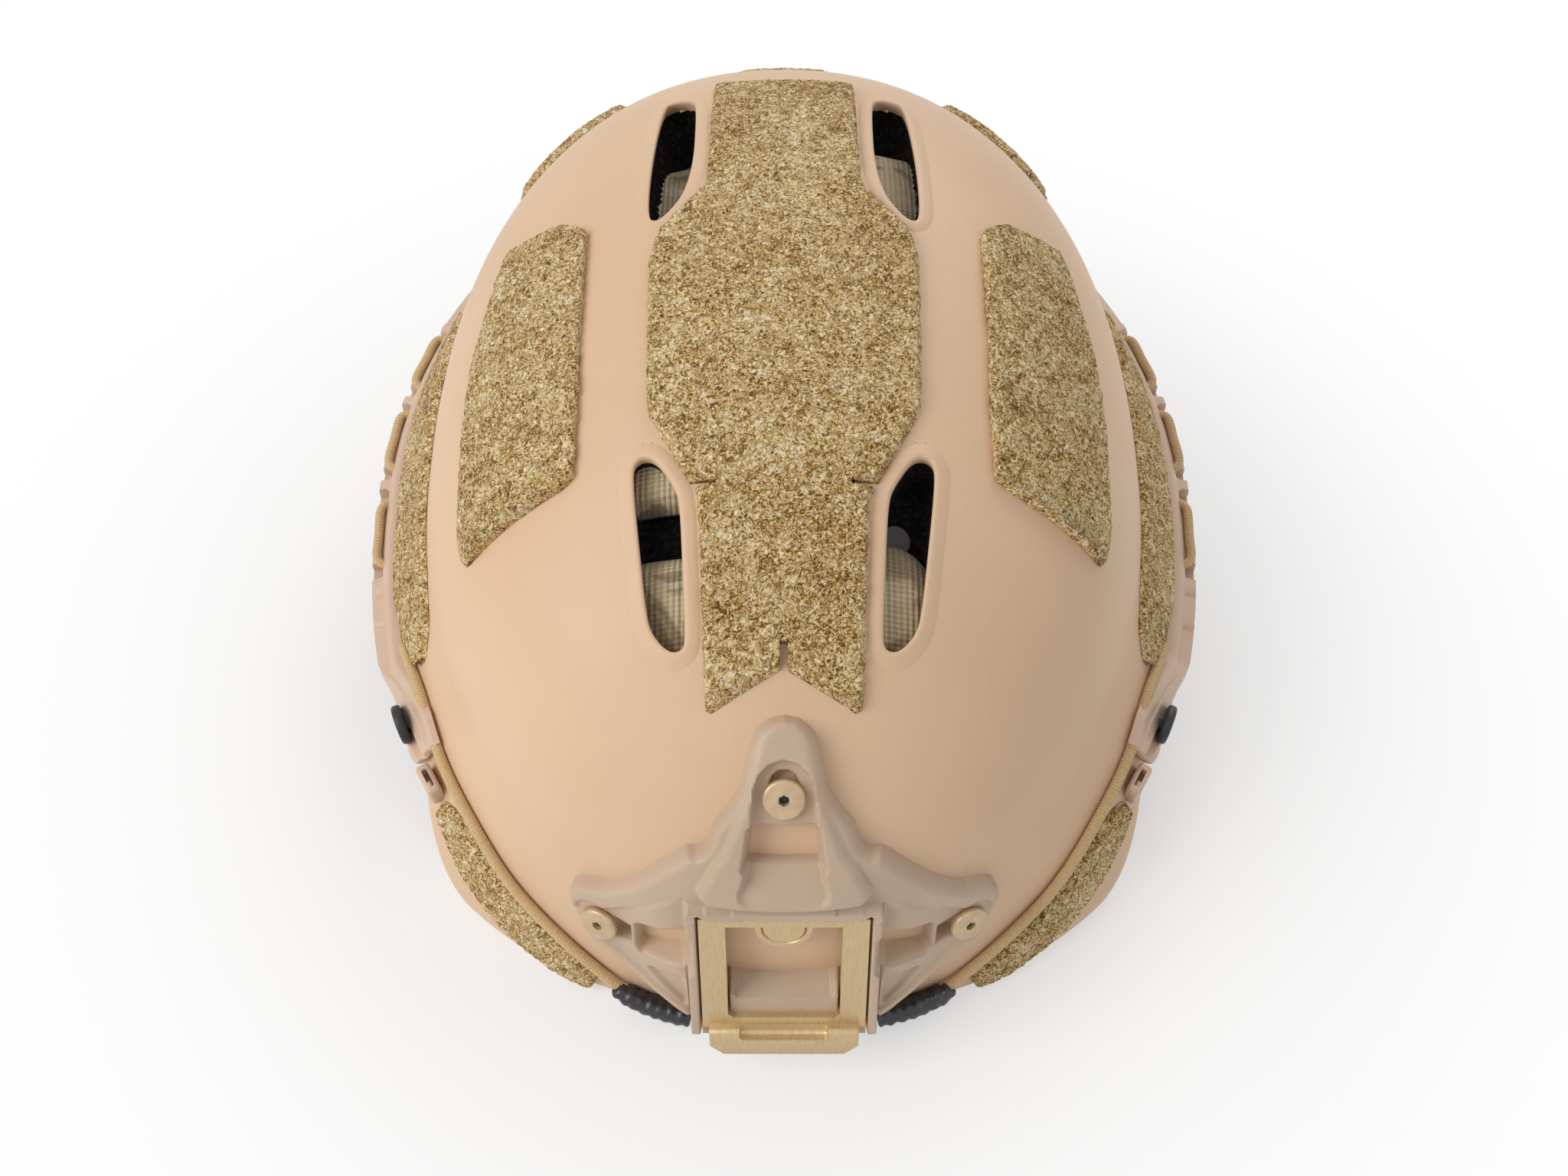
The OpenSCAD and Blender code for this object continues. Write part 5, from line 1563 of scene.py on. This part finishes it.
spindle = [rod(HUB_R, 0.2, HOUSING_T + 1.2, 48, 0.1), rod(PINION_R, 2.4, HOUSING_T - 0.1, 24, 0.1)]
piece("dial_housing_drum", moved(housing(), at_dial), black_nylon, body="yoke",
      instead=["dial_housing"], sharp=35)
piece("fit_dial_wheel", moved(joined([grip_wheel(), *spindle]), at_dial), black_nylon, body="dial",
      instead=["fit_dial"], sharp=35)

# %% Yoke pad
def yoke_cushion():
    def spot_at(u, v, w):
        az, z = mix(152.6, 207.4, v), mix(-47.6, -66.4, u)
        face = yoke_off(az) - YOKE_T - 0.3
        return standing(shell_point(az, z, mix(face - 0.5, face - 7 * crown_share(v, u) + 0.6, w)))

    return filled(shaped(spot_at, 18, 30), 0.0007)


pad = piece("yoke_pad_cushion", yoke_cushion(), knit_pad, body="yoke",
            instead=["yoke_pad"], sharp=180)

# %% [markdown]
# # Chin harness
# The webbing straps hang inside the rim from the rail screws and lie on the table, joined by two
# sliders, a side-release buckle and a padded cup. They are flat straps, so each is modelled directly.

# %% Webbing
STRAP_W, STRAP_T, STRAP_OFF = 19.0, 1.6, -WALL - 0.7 - 0.8
SLOPE = -math.tan(PITCH)
LIE = 0.5 + STRAP_T / 2
SLIDER_X, SLIDER_Y, SLIDER_H = 66.0, -12.0, 3.6


def table_point(x, y, h):
    return Vector((x, y, ground_z(y) + h / math.cos(PITCH)))


def strap(points, across, side=1, width=STRAP_W):
    path = smooth_route([Vector(p) for p in points], 10)
    widths = smooth_route([Vector(a).normalized() for a in across], 10)
    reach = lengths(path)
    rings = int(reach[-1] / 1.2)

    def at(row, mm):
        return found(row, reach, mm)

    frames = []
    for k in range(rings + 1):
        mm = reach[-1] * k / rings
        way = at(path, min(reach[-1], mm + 1)) - at(path, max(0, mm - 1))
        wide = at(widths, mm).normalized()
        frames.append((at(path, mm), wide, way.cross(wide).normalized()))

    def place(u, v, w):
        centre, wide, lift = frames[round(v * rings)]
        edge = rounding(min(u, 1 - u) * width + 0.25, 0.9)
        q = centre + wide * ((u - 0.5) * width) + lift * ((0.5 - w) * STRAP_T * edge)
        return standing((side * q.x, q.y, q.z))

    return shaped(place, 22, rings, (width, reach[-1]))


# %% The four straps of the harness
def shell_along(az, z):
    return Vector(shell_point(az + 2, z, STRAP_OFF)) - Vector(shell_point(az - 2, z, STRAP_OFF))


def harness_strap(az, drop, knees, turns, side):
    a, b = Vector(shell_point(az, EAR_Z + 10.5, STRAP_OFF)), Vector(shell_point(az, -26, STRAP_OFF))
    w = shell_along(az, -20)
    points = [a, b, b + Vector((-1.5, 0, -drop))]
    points += [table_point(b.x + dx, b.y + dy, h) for dx, dy, h in knees]
    points.append(table_point(SLIDER_X + 10.3, SLIDER_Y + (12 if az > 90 else -12), LIE))
    across = [w, w, (0, 1, SLOPE / 2)] + [(t, 1, SLOPE) for t in turns] + [(0, 1, SLOPE)]
    return strap(points, across, side)


STRAPS = [("front", 73, 8, [(-6, 1, 9), (-12, 3, LIE + 1.2), (-20, 9, LIE)], (0.05, 0.2, 0.4)),
          ("rear", 104, 14, [(-6, -2, 12), (-13, -5, LIE + 1.6), (-22, -19, LIE)], (-0.1, -0.3, -0.7))]
for side, side_name in SIDES:
    for end, az, drop, knees, turns in STRAPS:
        piece(f"{end}_web_{side_name}", harness_strap(az, drop, knees, turns, side), webbing,
              instead=[f"{end}_strap_{side_name}"], sharp=50)


# %% Sliders
def on_table(x, y, h):
    spot = standing(table_point(x, y, h))
    return lambda c: spot + Vector(c) / 1000


for side, side_name in SIDES:
    body = box((-10, -23, -SLIDER_H / 2), (10, 23, SLIDER_H / 2), 1.2, 4)
    for y in (-12, 12):
        middle_x = -4.5 * side
        body = cut_away(body, box((middle_x - 1.5, y - 7.6, -4), (middle_x + 1.5, y + 7.6, 4), 0.5))
    piece(f"slider_{side_name}", moved(body, on_table(side * SLIDER_X, SLIDER_Y, 0.4 + SLIDER_H / 2)),
          black_nylon, instead=[f"strap_slider_{side_name}"], sharp=35)

# %% Socket of the buckle
OVER = 0.4 + SLIDER_H + 0.4 + STRAP_T / 2
BUCKLE_X = 16.0
chin_line = on_table(BUCKLE_X, SLIDER_Y, OVER)


def buckle_socket():
    bm = box((-14.2, -13, -3.7), (10.2, 13, 3.7), 1.6, 4)
    bm = cut_away(bm, box((-7.5, -9.5, -2.2), (16, 9.5, 2.2), 0.4))
    for side in (-1, 1):
        bm = cut_away(bm, box((-5, side * 13 - 3, -1.9), (4.5, side * 13 + 3, 1.9), 0.6))
    bm = cut_away(bm, box((-12.4, -9.8, -6), (-10.2, 9.8, 6), 0.4))
    for k in range(4):
        bm = cut_away(bm, box((-5.2 + 2.2 * k, -5, 3.4), (-4.2 + 2.2 * k, 5, 6), 0.2))
    return bm


# %% The plug, and both halves in place
def buckle_plug():
    bar = box((10.6, -12.5, -3.2), (21.5, 12.5, 3.2), 1.3, 4)
    bar = cut_away(bar, box((14.5, -9.5, -6), (18.5, 9.5, 6), 0.5))
    parts = [bar, box((-5.5, -1.7, -1.5), (11.2, 1.7, 1.5), 0.5)]
    for side in (-1, 1):
        low, high = sorted((side * 6.0, side * 9.0))
        parts.append(box((-4.6, low, -1.8), (11.2, high, 1.8), 0.6, 4))
    return joined(parts)


piece("buckle_socket_body", moved(buckle_socket(), chin_line), black_nylon,
      instead=["buckle_socket"], sharp=35)
piece("buckle_plug_body", moved(buckle_plug(), chin_line), black_nylon, body="plug",
      instead=["buckle_plug"], sharp=35)


# %% The chin strap's two halves
def flat_strap(x0, x1):
    points = [table_point(mix(x0, x1, k / 6), SLIDER_Y, OVER) for k in range(7)]
    return strap(points, [(0, 1, SLOPE)] * 7)


piece("chin_web_plug", flat_strap(BUCKLE_X + 22, SLIDER_X + 8), webbing, body="plug",
      instead=["chin_strap_plug"], sharp=50)
piece("chin_web_socket", flat_strap(-SLIDER_X - 8, BUCKLE_X - 14.6), webbing,
      instead=["chin_strap_socket"], sharp=50)


# %% Chin cup
def chin_cushion():
    def place(u, v, w):
        x = mix(-49.4, -8.6, v)
        y = SLIDER_Y + mix(15.4, -15.4, u) * (0.75 + 0.25 * math.sin(math.pi * v))
        low = OVER + STRAP_T / 2 + 0.9
        channel = 0.9 * max(bump(v, c, 0.05) for c in (0.28, 0.5, 0.72))
        return standing(table_point(x, y, mix(low, low + 4.9 * crown_share(v, u) - channel, 1 - w)))

    return filled(shaped(place, 20, 26), 0.0006)


pad = piece("chin_cup_cushion", chin_cushion(), chin_padding, instead=["chin_cup"],
            sharp=180)

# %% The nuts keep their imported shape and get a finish
for holder in nodes["shroud_nuts"].material_slots:
    holder.material = steel.material
